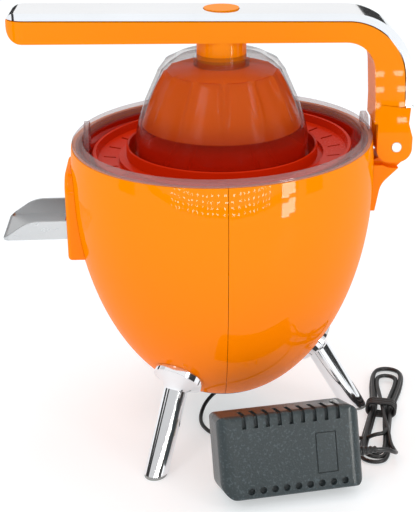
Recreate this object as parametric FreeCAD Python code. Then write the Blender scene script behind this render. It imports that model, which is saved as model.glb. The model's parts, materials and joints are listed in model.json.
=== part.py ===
import FreeCAD, Part
import math
import os

# Lever citrus press. Millimetres, +Z up. The spout points along -X, the hinge is on the +X
# side, the user stands at -Y. Everything is drawn about the bowl's axis and moved on saving,
# so that the origin is on the floor in the middle of the machine's length and width.

V = FreeCAD.Vector
X_AXIS = V(1, 0, 0)
Y_AXIS = V(0, 1, 0)
Z_AXIS = V(0, 0, 1)
ORIGIN = V(0, 0, 0)

# --- Bowl: the lower part of an egg-shaped ellipsoid, cut by a slightly tilted rim -----------
bowl_radius = 92.9            # widest radius of the egg
bowl_waist_z = 167.0          # height of the widest radius
bowl_depth = 146.5            # from the waist down to the egg's pole
bowl_wall = 2.6
rim_z = 191.0                 # rim height on the axis
rim_tilt_deg = 1.24           # the rim falls towards the spout
seam_gap = 0.3                # visible joint between the two half shells
base_radius = 38.0            # the base cover closes the bowl below this radius
base_floor_z = 23.0           # flat underside of the base cover
joint_gap = 0.2               # between pieces that only meet
base_screw_circle = 16.5
base_screw_angles_deg = (100.0, 220.0, 340.0)
vent_angles_deg = (0.0, 40.0, 80.0, 120.0, 160.0)

# --- Legs ---------------------------------------------------------------------------------
leg_diameter = 15.0
leg_splay = 0.58              # outward run per unit of height
foot_circle_radius = 88.8
leg_flange_radius = 15.5
leg_flange_thickness = 3.0
foot_pad_height = 2.0
leg_angles_deg = {"hinge": 0.0, "front": -120.0, "back": 120.0}
leg_screw_radius = 2.0
leg_neck_length = 10.0

# --- Juice collector, strainer and spout ------------------------------------------------------
flange_radius = 91.3
flange_inner_radius = 84.6
flange_thickness = 3.2
collector_wall = 2.2
collector_top_radius = 87.4
collector_ledge_radius = 84.2
collector_ledge_z = 178.0
collector_floor_radius = 80.0
collector_floor_z = 134.0
chimney_bore = 12.4
chimney_top_z = 160.0
bearing_top_z = chimney_top_z - 5.0
tab_width = 20.0
tab_height = 9.0
tab_thickness = 3.0
spout_tab_radius = 82.0
hinge_tab_radius = 86.8

strainer_tilt_deg = 2.0
strainer_rim_radius = 79.1
strainer_rim_z = 187.0
strainer_gutter_z = 181.0
strainer_wall = 1.8
lip_radius = 56.8
lip_z = 188.6
well_floor_z = 162.2
well_radius = 51.0
strainer_hole_radius = 16.0
slot_count = 36
slot_width = 1.8

plate_front_x = -95.6
plate_half_width = 24.0
plate_top_z = 176.0
plate_bottom_z = 120.0
plate_edge = 2.5
spout_half_width = 21.0
spout_wall = 1.5
spout_height = 11.6
spout_floor_z = 135.7
spout_slope_deg = 0.5
spout_tip_corner = 4.0
spout_tip_x = -135.0
spout_full_height_x = -119.0

# --- Drive --------------------------------------------------------------------------------
shaft_radius = 4.0
running_gap = 0.05
shaft_bottom_z = 90.0
shaft_top_z = 188.0
press_travel = 1.5
deck_z = 112.0
deck_thickness = 3.0
deck_hub_radius = 11.4
bearing_radius = 7.0
gear_plate_z = 82.0
gear_plate_thickness = 2.0
gear_plate_radius = 60.0
fine_module = 0.8
motor_teeth = 12
idler_large_teeth = 48
coarse_module = 1.0
idler_small_teeth = 15
output_teeth = 60
motor_radius = 18.0
motor_length = 46.0
idler_pin_radius = 2.0
idler_pin_height = 24.0
motor_shaft_radius = 1.6
post_radius_on_plate = 54.0
post_angles_deg = (30.0, 150.0, 270.0)
boss_angles_deg = (35.0, 145.0, 215.0, 325.0)
boss_height = 14.0
boss_radius = 4.5

# --- Reamer, press cup and cover ------------------------------------------------------------
reamer_radius = 38.0
reamer_floor_gap = 1.5        # left above the strainer when the reamer is pressed down
reamer_base_z = well_floor_z + strainer_wall + press_travel + reamer_floor_gap
reamer_cavity_radius = strainer_hole_radius + strainer_wall + 1.0
reamer_cavity_height = 6.0
reamer_height = 54.0
reamer_ribs = 8
cup_top_z = 240.0
cup_neck_radius = 14.4
cup_shoulder_radius = 35.0
cup_shoulder_z = 233.0
cup_bottom_radius = 48.6
cup_bottom_z = 201.0
cup_wall = 2.2
cup_ribs = 12
cover_shoulder_radius = 34.0
cover_top_z = 243.6
cover_shoulder_z = 239.4
cover_bottom_radius = 53.2
cover_bottom_z = 182.0
cover_wall = 2.0

# --- Arm ------------------------------------------------------------------------------------
arm_tip_x = -126.0
arm_half_width = 15.0
arm_top_tip_z = 271.6
arm_top_bend_z = 268.2
arm_under_tip_z = 253.4
arm_under_bend_z = 251.6
column_outer_top_x = 111.4
column_outer_bottom_x = 113.4
column_inner_top_x = 88.8
column_inner_bottom_x = 90.9
column_bottom_z = 214.4
arm_outer_bend = 40.0
arm_inner_bend = 17.5
arm_nose_radius = 8.2
arm_chin_radius = 9.6
arm_wall = 2.6
trim_thickness = 4.4
trim_gap = 0.7
collar_radius = 14.8
collar_bottom_z = 239.5
button_radius = 10.4
button_height = 8.5
button_proud = 0.6

# --- Hinge ----------------------------------------------------------------------------------
pin_x = 104.8
pin_z = 187.4
pin_radius = 3.2
cheek_inner = 9.0
lug_half_width = 8.6
lug_radius = 9.0
cheek_back = 11.8
cheek_front = 9.4
cheek_below = 9.6
block_bottom = 14.6
block_front = 6.8
base_half_width = 13.0
bracket_foot_z = 146.0

# The bowl's axis stands this far along +X from the origin.
axis_x = -(spout_tip_x + pin_x + cheek_front) / 2

# --- Power supply and its cord ----------------------------------------------------------------
cord_diameter = 2.6
jack_x = 12.0
jack_y = 10.0
plug_radius = 4.5
plug_drop = 13.0
adapter_length = 86.0
adapter_height = 49.8
adapter_depth = 30.0
adapter_edge = 10.0
adapter_front_edge = 8.0
adapter_slot_depth = 3.0
adapter_slot_count = 9
adapter_slot_pitch = 7.1
adapter_slot_first = -27.75
adapter_slot_length = 8.0
adapter_slot_half_width = 1.2
adapter_port_first = -26.3
adapter_port_radius = 2.1
adapter_port_z = 5.0
adapter_panel_x = (14.1, 26.9)
adapter_panel_z = (10.8, 35.2)
adapter_panel_groove = 0.7
adapter_x = 33.4
adapter_y = -86.2
adapter_yaw_deg = 10.0
adapter_lean_deg = 21.0
blade_length = 17.0
blade_width = 6.3
blade_thickness = 1.5
blade_spacing = 12.7
relief_length = 14.0
hank_height = 8.0


def save(name, shape):
    """Write one node, after checking that its solids are sound."""
    solids = [moved(solid, V(axis_x, 0, 0)) for solid in shape.Solids]
    if not solids or not shape.isValid():
        raise ValueError(name + " is not a sound solid")
    Part.makeCompound(solids).exportStep("parts/" + name + ".step")
    volume = sum(solid.Volume for solid in solids)
    print(name, "solids", len(solids), "volume", round(volume, 1))


def rotated(shape, angle_deg, centre=ORIGIN, axis=Z_AXIS):
    turned = shape.copy()
    turned.rotate(centre, axis, angle_deg)
    return turned


def moved(shape, offset):
    placed = shape.copy()
    placed.translate(offset)
    return placed


def joined(shapes):
    first, rest = shapes[0], list(shapes[1:])
    if not rest:
        return first
    return first.fuse(rest).removeSplitter()


def tube(outer, inner, height, base, axis=Z_AXIS):
    body = Part.makeCylinder(outer, height, base, axis)
    return body.cut(Part.makeCylinder(inner, height, base, axis))


def box(x_range, y_range, z_range):
    size = [pair[1] - pair[0] for pair in (x_range, y_range, z_range)]
    return Part.makeBox(size[0], size[1], size[2], V(x_range[0], y_range[0], z_range[0]))


def revolved(points):
    """Turn a closed outline of (radius, height) points about the vertical axis."""
    corners = [V(radius, 0, height) for radius, height in points]
    wire = Part.makePolygon(corners + [corners[0]])
    return Part.Face(wire).revolve(ORIGIN, Z_AXIS, 360)


def rounded_wire(corners, plane="XZ"):
    """Closed wire through corners (a, b, radius), each rounded by its own radius."""
    if plane == "XZ":
        points = [V(a, 0, b) for a, b, _ in corners]
    else:
        points = [V(a, b, 0) for a, b, _ in corners]
    count = len(points)
    starts = []
    ends = []
    middles = []
    for index in range(count):
        here = points[index]
        radius = corners[index][2]
        back = (points[index - 1] - here).normalize()
        ahead = (points[(index + 1) % count] - here).normalize()
        half = back.getAngle(ahead) / 2
        run = radius / math.tan(half)
        bisector = (back + ahead).normalize()
        starts.append(here + back * run)
        ends.append(here + ahead * run)
        middles.append(here + bisector * (radius / math.sin(half) - radius))
    edges = []
    for index in range(count):
        if corners[index][2] > 0:
            edges.append(Part.Arc(starts[index], middles[index], ends[index]).toShape())
        following = starts[(index + 1) % count]
        if (following - ends[index]).Length > 1e-6:
            edges.append(Part.LineSegment(ends[index], following).toShape())
    return Part.Wire(edges)


def side_solid(corners, y_low, y_high):
    """Rounded outline in the XZ plane, extruded along Y."""
    face = Part.Face(rounded_wire(corners))
    return moved(face.extrude(V(0, y_high - y_low, 0)), V(0, y_low, 0))


def plan_solid(corners, z_low, z_high):
    """Rounded outline in the XY plane, extruded along Z."""
    face = Part.Face(rounded_wire(corners, "XY"))
    return moved(face.extrude(V(0, 0, z_high - z_low)), V(0, 0, z_low))


def egg_radius(z, inset=0.0):
    share = (z - bowl_waist_z) / (bowl_depth - inset)
    return (bowl_radius - inset) * math.sqrt(1.0 - share * share)


def egg_solid(inset, z_low, z_high):
    """Slice of the bowl's egg between two heights, its surface moved in by inset."""
    pole = V(0, 0, bowl_waist_z - (bowl_depth - inset))
    side = V(bowl_radius - inset, 0, bowl_waist_z)
    ellipse = Part.Ellipse(pole, side, V(0, 0, bowl_waist_z))
    low = V(egg_radius(z_low, inset), 0, z_low)
    high = V(egg_radius(z_high, inset), 0, z_high)
    first, last = sorted((ellipse.parameter(low), ellipse.parameter(high)))
    arc = ellipse.toShape(first, last)
    edges = [
        Part.LineSegment(V(0, 0, z_low), low).toShape(),
        arc,
        Part.LineSegment(high, V(0, 0, z_high)).toShape(),
        Part.LineSegment(V(0, 0, z_high), V(0, 0, z_low)).toShape(),
    ]
    face = Part.Face(Part.Wire(Part.__sortEdges__(edges)))
    return face.revolve(ORIGIN, Z_AXIS, 360)


def tilted(shape, tilt_deg, height):
    """Tilt a level shape so that it falls towards the spout, about the axis at height."""
    return rotated(shape, -tilt_deg, V(0, 0, height), Y_AXIS)


def above_rim(lift=0.0):
    """Everything above the tilted rim plane."""
    slab = box((-150, 150), (-150, 150), (rim_z + lift, rim_z + lift + 60))
    return tilted(slab, rim_tilt_deg, rim_z)


def egg_normal(z):
    """Outward unit normal of the bowl in its XZ section at height z."""
    share = (z - bowl_waist_z) / bowl_depth ** 2
    normal = V(egg_radius(z) / bowl_radius ** 2, 0, share)
    return normal.normalize()


def base_joint_z():
    """Height at which the bowl has the base cover's radius."""
    share = math.sqrt(1.0 - (base_radius / bowl_radius) ** 2)
    return bowl_waist_z - bowl_depth * share


def leg_top():
    """Point where the leg's axis meets the bowl, in the plane of the leg."""
    z = base_floor_z
    while foot_circle_radius - leg_splay * z > egg_radius(z):
        z += 0.05
    return V(egg_radius(z), 0, z)


def leg_direction():
    return V(-leg_splay, 0, 1).normalize()


# --- Bowl and legs ------------------------------------------------------------------------


def leg_screw(radius, depth_in, depth_out):
    """Screw axis along the bowl's normal at the leg's top, as a plain cylinder."""
    top = leg_top()
    normal = egg_normal(top.z)
    start = top - normal * depth_in
    return Part.makeCylinder(radius, depth_in + depth_out, start, normal)


def bracket_screw_heights():
    return (bracket_foot_z + 9.0, bracket_foot_z + 24.0)


def spout_port(margin):
    """Channel through the bowl, the plate and the collector for the juice outlet."""
    half = spout_half_width - spout_wall - margin
    low = spout_floor_z + 0.4 + margin
    high = spout_floor_z + spout_height - 1.0 - margin
    return half, low, high


def outlet_sleeve():
    """Outside and bore of the collector's outlet, a short tube that ends in the metal spout."""
    half, low, high = spout_port(0.4)
    inner_end = -collector_floor_radius + 10.0
    outer = box((plate_front_x - 1.0, inner_end), (-half, half), (low, high))
    wall = 1.4
    inner = box(
        (plate_front_x - 2.0, inner_end + 1.0),
        (-half + wall, half - wall),
        (low + wall, high - wall),
    )
    return outer, inner


def boss_x():
    """Distance of the deck's screw bosses from the axis: their outer side is in the wall."""
    return egg_radius(deck_z - boss_height, bowl_wall) - 3.0


def shell_parts():
    """The bowl's two halves, parted in the plane through the axis."""
    joint_z = base_joint_z()
    wall = egg_solid(0.0, joint_z, 205.0).cut(egg_solid(bowl_wall, joint_z - 1.0, 206.0))
    wall = wall.cut(above_rim())
    bosses = []
    for angle in boss_angles_deg:
        boss = Part.makeCylinder(boss_radius, boss_height, V(boss_x(), 0, deck_z - boss_height))
        boss = boss.cut(Part.makeCylinder(1.2, 10.0, V(boss_x(), 0, deck_z - 10.0)))
        bosses.append(rotated(boss, angle))
    inside = egg_solid(bowl_wall / 2, joint_z + 1.0, 150.0)
    bosses = [boss.common(inside) for boss in bosses]
    wall = joined([wall] + bosses)
    half, low, high = spout_port(-0.6)
    wall = wall.cut(box((-110, -60), (-half, half), (low, high)))
    for angle in leg_angles_deg.values():
        wall = wall.cut(rotated(leg_screw(leg_screw_radius + 0.3, 8.0, 4.0), angle))
    for height in bracket_screw_heights():
        wall = wall.cut(Part.makeCylinder(2.3, 20.0, V(80, 0, height), X_AXIS))
    big = 200.0
    left = box((-big, -seam_gap / 2), (-big, big), (0, 300))
    right = box((seam_gap / 2, big), (-big, big), (0, 300))
    return wall.common(left), wall.common(right)


def vent_slots(count, inner, outer, z_low, z_high, width):
    slots = []
    for index in range(count):
        slot = box((inner, outer), (-width / 2, width / 2), (z_low, z_high))
        slots.append(rotated(slot, 360.0 * index / count))
    return slots


def base_cover():
    joint_z = base_joint_z() - joint_gap
    dish = egg_solid(0.0, base_floor_z, joint_z)
    dish = dish.cut(egg_solid(bowl_wall, base_floor_z + bowl_wall, joint_z + 1.0))
    rebate_radius = egg_radius(joint_z, bowl_wall) - 0.4
    rebate = tube(rebate_radius, rebate_radius - 2.8, 5.4, V(0, 0, joint_z - 2.8))
    dish = joined([dish, rebate])
    dish = dish.cut(Part.makeCylinder(5.4, 8.0, V(jack_x, jack_y, base_floor_z - 2.0)))
    for angle in vent_angles_deg:
        vent = box((-13.0, -4.0), (-1.0, 1.0), (base_floor_z - 1.0, base_floor_z + 6.0))
        dish = dish.cut(rotated(vent, angle))
    return dish


def base_screws():
    screws = []
    for angle in base_screw_angles_deg:
        head = Part.makeCylinder(2.6, 1.6, V(base_screw_circle, 0, base_floor_z - 1.6))
        socket = Part.makeCylinder(1.2, 0.9, V(base_screw_circle, 0, base_floor_z - 1.7))
        screws.append(rotated(head.cut(socket), angle))
    return Part.makeCompound(screws)


def leg():
    """Chrome leg in the +X half plane: a flange on the bowl that necks into a splayed tube."""
    top = leg_top()
    normal = egg_normal(top.z)
    along = leg_direction()
    radius = leg_diameter / 2
    foot = V(foot_circle_radius, 0, 0)
    length = (top - foot).Length
    shank = Part.makeCylinder(radius, length, foot - along * 6.0, along)
    neck_base = top - along * leg_neck_length
    seat = top + normal * leg_flange_thickness
    rings = []
    # The flare starts just inside the tube, so that the two surfaces cross cleanly.
    least = radius - 0.5
    for share in (0.0, 0.3, 0.6, 0.8, 1.0):
        centre = neck_base + (seat - neck_base) * share
        facing = along * (1.0 - share) - normal * share
        reach = least + (leg_flange_radius - 1.0 - least) * share ** 2
        rings.append(Part.Wire(Part.makeCircle(reach, centre, facing)))
    neck = Part.makeLoft(rings, True)
    depth = 4.0
    flange = Part.makeCylinder(leg_flange_radius, leg_flange_thickness + depth, top - normal * depth, normal)
    body = joined([shank, neck, flange])
    body = body.cut(box((0, 200), (-40, 40), (-40, foot_pad_height)))
    body = body.cut(egg_solid(-joint_gap, base_floor_z - 2.0, 190.0))
    return body.cut(leg_screw(leg_screw_radius + 0.1, 2.0, 12.0))


def foot_pad():
    along = leg_direction()
    foot = V(foot_circle_radius, 0, 0)
    pad = Part.makeCylinder(leg_diameter / 2 - 0.8, 12.0, foot - along * 6.0, along)
    return pad.common(box((0, 200), (-40, 40), (0, foot_pad_height)))


def leg_screw_solid():
    top = leg_top()
    normal = egg_normal(top.z)
    head_base = top - normal * (bowl_wall + joint_gap)
    shank = Part.makeCylinder(leg_screw_radius, bowl_wall + 10.0, head_base, normal)
    head = Part.makeCylinder(4.0, 2.4, head_base, V(0, 0, 0) - normal)
    return joined([shank, head])


# --- Drive ----------------------------------------------------------------------------------


def gear(module, teeth, z_low, thickness, bore, phase_deg):
    """Straight-flanked spur gear with enough backlash for its neighbours to turn freely."""
    pitch_radius = module * teeth / 2
    addendum = 0.8 * module
    dedendum = 1.2 * module
    half_pitch_tooth = 0.62 * module
    slope = math.tan(math.radians(20.0))
    profile = (
        (pitch_radius - dedendum, -(half_pitch_tooth + dedendum * slope)),
        (pitch_radius + addendum, -(half_pitch_tooth - addendum * slope)),
        (pitch_radius + addendum, half_pitch_tooth - addendum * slope),
        (pitch_radius - dedendum, half_pitch_tooth + dedendum * slope),
    )
    points = []
    for index in range(teeth):
        centre = math.radians(phase_deg + 360.0 * index / teeth)
        for radius, offset in profile:
            angle = centre + offset / radius
            points.append(V(radius * math.cos(angle), radius * math.sin(angle), z_low))
    blank = Part.Face(Part.makePolygon(points + [points[0]])).extrude(V(0, 0, thickness))
    return blank.cut(Part.makeCylinder(bore, thickness, V(0, 0, z_low)))


def idler_distance():
    return coarse_module * (idler_small_teeth + output_teeth) / 2


def motor_x():
    return -idler_distance() + fine_module * (motor_teeth + idler_large_teeth) / 2


def gear_level():
    return gear_plate_z + gear_plate_thickness + 1.0


def motor_deck():
    radius = egg_radius(deck_z, bowl_wall) - 0.4
    disc = Part.makeCylinder(radius, deck_thickness, V(0, 0, deck_z))
    hub = Part.makeCylinder(deck_hub_radius, bearing_top_z - deck_z, V(0, 0, deck_z))
    deck = joined([disc, hub])
    deck = deck.cut(Part.makeCylinder(bearing_radius, 70.0, V(0, 0, deck_z - 1.0)))
    for angle in boss_angles_deg:
        hole = Part.makeCylinder(1.8, 10.0, V(boss_x(), 0, deck_z - 2.0))
        deck = deck.cut(rotated(hole, angle))
    return deck


def deck_screws():
    screws = []
    for angle in boss_angles_deg:
        head = Part.makeCylinder(3.2, 2.0, V(boss_x(), 0, deck_z + deck_thickness))
        shank = Part.makeCylinder(1.2, deck_thickness + 8.0, V(boss_x(), 0, deck_z - 8.0))
        screws.append(rotated(joined([head, shank]), angle))
    return Part.makeCompound(screws)


def bearing():
    height = bearing_top_z - deck_z
    return tube(bearing_radius, shaft_radius + running_gap, height, V(0, 0, deck_z))


def shaft_seal():
    base = V(0, 0, bearing_top_z + joint_gap)
    return tube(deck_hub_radius, shaft_radius + running_gap, 2.0, base)


def gear_frame():
    plate = Part.makeCylinder(gear_plate_radius, gear_plate_thickness, V(0, 0, gear_plate_z))
    posts = []
    for angle in post_angles_deg:
        post = Part.makeCylinder(4.0, deck_z - gear_plate_z, V(post_radius_on_plate, 0, gear_plate_z))
        posts.append(rotated(post, angle))
    frame = joined([plate] + posts)
    low = gear_plate_z - 2.0
    frame = frame.cut(Part.makeCylinder(motor_shaft_radius + 1.0, 10.0, V(motor_x(), 0, low)))
    return frame.cut(Part.makeCylinder(idler_pin_radius, 10.0, V(-idler_distance(), 0, low)))


def idler_pin():
    return Part.makeCylinder(idler_pin_radius, idler_pin_height, V(-idler_distance(), 0, gear_plate_z))


def motor():
    top = gear_plate_z - joint_gap
    can = Part.makeCylinder(motor_radius, motor_length, V(motor_x(), 0, top - motor_length))
    can = can.makeFillet(1.5, [edge for edge in can.Edges if len(edge.Vertexes) == 1])
    return can.cut(Part.makeCylinder(motor_shaft_radius + 0.4, 20.0, V(motor_x(), 0, top - 19.0)))


def motor_end_bell():
    base = gear_plate_z - joint_gap - motor_length - 2.0
    bell = Part.makeCylinder(motor_radius - 3.0, 2.0, V(motor_x(), 0, base))
    terminals = []
    for y in (-8.0, 8.0):
        x_range = (motor_x() - 1.5, motor_x() + 1.5)
        terminals.append(box(x_range, (y - 0.4, y + 0.4), (base - 4.0, base)))
    return joined([bell] + terminals)


def motor_pinion():
    level = gear_level()
    teeth = gear(fine_module, motor_teeth, level, 7.0, motor_shaft_radius - 0.4, 0.0)
    shaft_base = gear_plate_z - 16.0
    shaft = Part.makeCylinder(motor_shaft_radius, level + 7.0 - shaft_base, V(0, 0, shaft_base))
    return moved(joined([teeth, shaft]), V(motor_x(), 0, 0))


def idler():
    level = gear_level()
    bore = idler_pin_radius + running_gap
    large = gear(fine_module, idler_large_teeth, level, 5.4, bore, 180.0 / idler_large_teeth)
    small = gear(coarse_module, idler_small_teeth, level + 5.4, 12.0, bore, 0.0)
    return moved(joined([large, small]), V(-idler_distance(), 0, 0))


def output_gear():
    # The idler has a tooth on the line to the axis, so this gear needs a gap there.
    phase = 180.0 - 180.0 / output_teeth
    return gear(coarse_module, output_teeth, gear_level() + 9.5, 7.0, shaft_radius, phase)


def drive_shaft():
    shaft = Part.makeCylinder(shaft_radius, shaft_top_z - shaft_bottom_z, V(0, 0, shaft_bottom_z))
    flat = box((shaft_radius - 0.8, 10), (-10, 10), (shaft_top_z - 14.0, shaft_top_z + 1.0))
    return shaft.cut(flat)


def thrust_cup():
    z = shaft_bottom_z - 2.0
    disc = Part.makeCylinder(5.0, 2.0 - joint_gap / 2, V(0, 0, z))
    nose = Part.makeCylinder(1.6, 0.5, V(0, 0, z - 0.5))
    return joined([disc, nose])


def return_spring():
    base = gear_plate_z + gear_plate_thickness
    return tube(4.2, 3.2, shaft_bottom_z - 2.0 - base, V(0, 0, base))


def micro_switch():
    base = gear_plate_z + gear_plate_thickness
    body = box((7.0, 18.0), (-3.0, 3.0), (base, base + 5.5))
    lever = box((6.2, 14.0), (-1.5, 1.5), (base + 6.0, base + 6.4))
    link = box((12.5, 14.0), (-1.5, 1.5), (base + 5.4, base + 6.2))
    return joined([body, lever, link])


def power_jack():
    body = Part.makeCylinder(5.2, 12.0, V(jack_x, jack_y, base_floor_z + 0.4))
    return body.cut(Part.makeCylinder(2.8, 10.0, V(jack_x, jack_y, base_floor_z)))


def wiring():
    """Supply wire from the jack up past the motor to the switch."""
    corners = [
        V(jack_x + 2.0, jack_y + 1.0, base_floor_z + 13.0),
        V(jack_x + 8.0, jack_y + 5.0, base_floor_z + 24.0),
        V(jack_x + 14.0, jack_y + 2.0, base_floor_z + 38.0),
        V(jack_x + 12.0, jack_y - 2.0, gear_plate_z - 1.0),
    ]
    return cord_tube(corners, 1.8)


# --- Collector, strainer, spout ---------------------------------------------------------------


def collector_cavity():
    """The space inside the collector's wall, above its floor."""
    wall = collector_wall
    return revolved([
        (0.0, collector_floor_z + wall),
        (collector_floor_radius - wall, collector_floor_z + wall),
        (collector_ledge_radius - wall, collector_ledge_z + 0.6),
        (collector_top_radius - wall, collector_ledge_z + 5.0),
        (collector_top_radius - wall, rim_z + 20.0),
        (0.0, rim_z + 20.0),
    ])


def collector_shell():
    """The collector's wall and floor in one, cut off at the tilted rim."""
    outside = revolved([
        (0.0, collector_floor_z),
        (collector_floor_radius, collector_floor_z),
        (collector_ledge_radius, collector_ledge_z),
        (collector_top_radius, collector_ledge_z + 4.0),
        (collector_top_radius, rim_z + 4.0),
        (0.0, rim_z + 4.0),
    ])
    return outside.cut(collector_cavity()).cut(above_rim(1.0))


def collector_layer(low, high):
    """The part of the collector's shell between two heights."""
    return collector_shell().common(box((-100, 100), (-100, 100), (low, high)))


def juice_collector():
    """Conical wall of the collector, with a window for the outlet."""
    outlet_outer, outlet_inner = outlet_sleeve()
    return collector_layer(collector_floor_z + collector_wall, collector_ledge_z).cut(outlet_outer)


def collector_floor():
    floor = collector_layer(collector_floor_z, collector_floor_z + collector_wall)
    hole = Part.makeCylinder(chimney_bore + collector_wall, 10.0, V(0, 0, collector_floor_z - 1.0))
    return floor.cut(hole)


def collector_chimney():
    """Upright tube that keeps the juice away from the drive shaft."""
    height = chimney_top_z - collector_floor_z
    return tube(chimney_bore + collector_wall, chimney_bore, height, V(0, 0, collector_floor_z))


def collector_outlet():
    outlet_outer, outlet_inner = outlet_sleeve()
    return outlet_outer.cut(collector_cavity()).cut(outlet_inner)


def collector_ledge():
    """Ring inside the wall that carries the strainer."""
    ledge_top = strainer_gutter_z - 0.5
    ledge = tube(collector_ledge_radius + 1.2, strainer_rim_radius - 4.5, 2.0, V(0, 0, ledge_top - 2.0))
    return tilted(ledge, strainer_tilt_deg, strainer_gutter_z).common(collector_cavity())


def collector_rim():
    """Top of the collector: upright wall, flange on the bowl's rim, and two finger tabs."""
    wall = collector_layer(collector_ledge_z, rim_z + 10.0)
    ring = revolved([
        (flange_inner_radius, rim_z + joint_gap),
        (flange_radius, rim_z + joint_gap),
        (flange_radius, rim_z + flange_thickness - 1.0),
        (flange_radius - 1.0, rim_z + flange_thickness),
        (flange_inner_radius + 0.6, rim_z + flange_thickness),
        (flange_inner_radius, rim_z + flange_thickness - 0.6),
    ])
    ring = tilted(ring, rim_tilt_deg, rim_z)
    tabs = [collector_tab(spout_tab_radius, -1), collector_tab(hinge_tab_radius, 1)]
    return joined([wall, ring] + tabs)


def collector_tab(radius, direction):
    """Upright finger tab on the collector's wall, rounded at its top."""
    rise = math.tan(math.radians(rim_tilt_deg)) * radius * direction
    top = rim_z + flange_thickness + tab_height + rise
    bottom = collector_ledge_z
    corner = 7.0
    face = Part.Face(rounded_wire([
        (-tab_width / 2, bottom, 0.0),
        (tab_width / 2, bottom, 0.0),
        (tab_width / 2, top, corner),
        (-tab_width / 2, top, corner),
    ]))
    slab = face.extrude(V(0, tab_thickness, 0))
    slab = rotated(slab, 90.0)
    slab.translate(V(direction * radius + tab_thickness / 2, 0, 0))
    return slab


def strainer():
    wall = strainer_wall
    flange = revolved([
        (62.0, strainer_gutter_z - wall),
        (strainer_rim_radius - 3.5, strainer_gutter_z - wall + 1.6),
        (strainer_rim_radius - 1.2, strainer_gutter_z + 1.0),
        (strainer_rim_radius, strainer_rim_z - 0.6),
        (strainer_rim_radius - 0.5, strainer_rim_z),
        (strainer_rim_radius - wall - 0.4, strainer_rim_z),
        (strainer_rim_radius - 3.4, strainer_gutter_z + 1.8),
        (62.0, strainer_gutter_z),
    ])
    flange = tilted(flange, strainer_tilt_deg, strainer_gutter_z)
    well = revolved([
        (strainer_hole_radius, well_floor_z),
        (well_radius, well_floor_z),
        (lip_radius, strainer_gutter_z - wall - 1.0),
        (63.0, strainer_gutter_z - wall),
        (63.0, strainer_gutter_z),
        (lip_radius + wall, strainer_gutter_z + 0.6),
        (lip_radius + wall - 0.4, lip_z - 0.6),
        (lip_radius + 0.9, lip_z),
        (lip_radius, lip_z - 0.6),
        (lip_radius - 0.4, strainer_gutter_z + 2.0),
        (well_radius - wall, well_floor_z + wall),
        (strainer_hole_radius + wall, well_floor_z + wall),
        (strainer_hole_radius + wall, well_floor_z + 4.0),
        (strainer_hole_radius, well_floor_z + 4.0),
    ])
    basket = joined([well, flange])
    low, high = well_floor_z - 1.0, well_floor_z + 3.0
    floor_slots = vent_slots(slot_count, 24.0, well_radius - 5.0, low, high, slot_width)
    low, high = strainer_gutter_z - 8.0, strainer_gutter_z + 8.0
    gutter_slots = vent_slots(24, 65.0, 72.5, low, high, slot_width)
    return basket.cut(floor_slots + gutter_slots)


def spout_side_outline():
    """Side view of the spout: level floor line, walls that fall to the tip in one curve."""
    return [
        (plate_front_x + 4.5, 0.0, 0.0),
        (spout_tip_x, 0.0, 0.0),
        (spout_tip_x, 1.0, 0.0),
        (spout_full_height_x, spout_height, 21.0),
        (plate_front_x + 4.5, spout_height, 0.0),
    ]


def spout():
    """Open metal channel, rounded at its tip, sloping down a little away from the bowl."""
    wall = spout_wall
    half = spout_half_width
    plan = [
        (plate_front_x + 12.0, -half, 0.0),
        (plate_front_x + 12.0, half, 0.0),
        (spout_tip_x, half, spout_tip_corner),
        (spout_tip_x, -half, spout_tip_corner),
    ]
    outer = rounded_wire(plan, "XY")
    inner = Part.Face(outer.makeOffset2D(-wall)).extrude(V(0, 0, 60.0))
    channel = Part.Face(outer).extrude(V(0, 0, spout_height)).cut(moved(inner, V(0, 0, wall)))
    channel = channel.common(side_solid(spout_side_outline(), -half - 5.0, half + 5.0))
    channel.translate(V(0, 0, spout_floor_z - wall))
    return rotated(channel, -spout_slope_deg, V(plate_front_x, 0, spout_floor_z), Y_AXIS)


def spout_plate():
    """Upright orange plate on the bowl with a window for the spout."""
    half = plate_half_width
    corners = [
        (-half, plate_bottom_z, 4.0),
        (half, plate_bottom_z, 4.0),
        (half, plate_top_z, 12.0),
        (-half, plate_top_z, 12.0),
    ]
    face = Part.Face(rounded_wire(corners))
    slab = rotated(face.extrude(V(0, 30.0, 0)), 90.0)
    slab.translate(V(plate_front_x + 30.0, 0, 0))
    rim = [edge for edge in slab.Edges if abs(edge.CenterOfMass.x - plate_front_x) < 0.01]
    slab = slab.makeFillet(plate_edge, rim)
    slab = slab.cut(egg_solid(-joint_gap / 2, 60.0, 205.0))
    clearance = 0.3
    half = spout_half_width + clearance
    window = box((plate_front_x - 5.0, -80.0), (-half, half),
                 (spout_floor_z - spout_wall - clearance - 0.8, spout_floor_z + spout_height + clearance))
    return slab.cut(window)


# --- Reamer, press cup, cover -------------------------------------------------------------------


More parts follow.
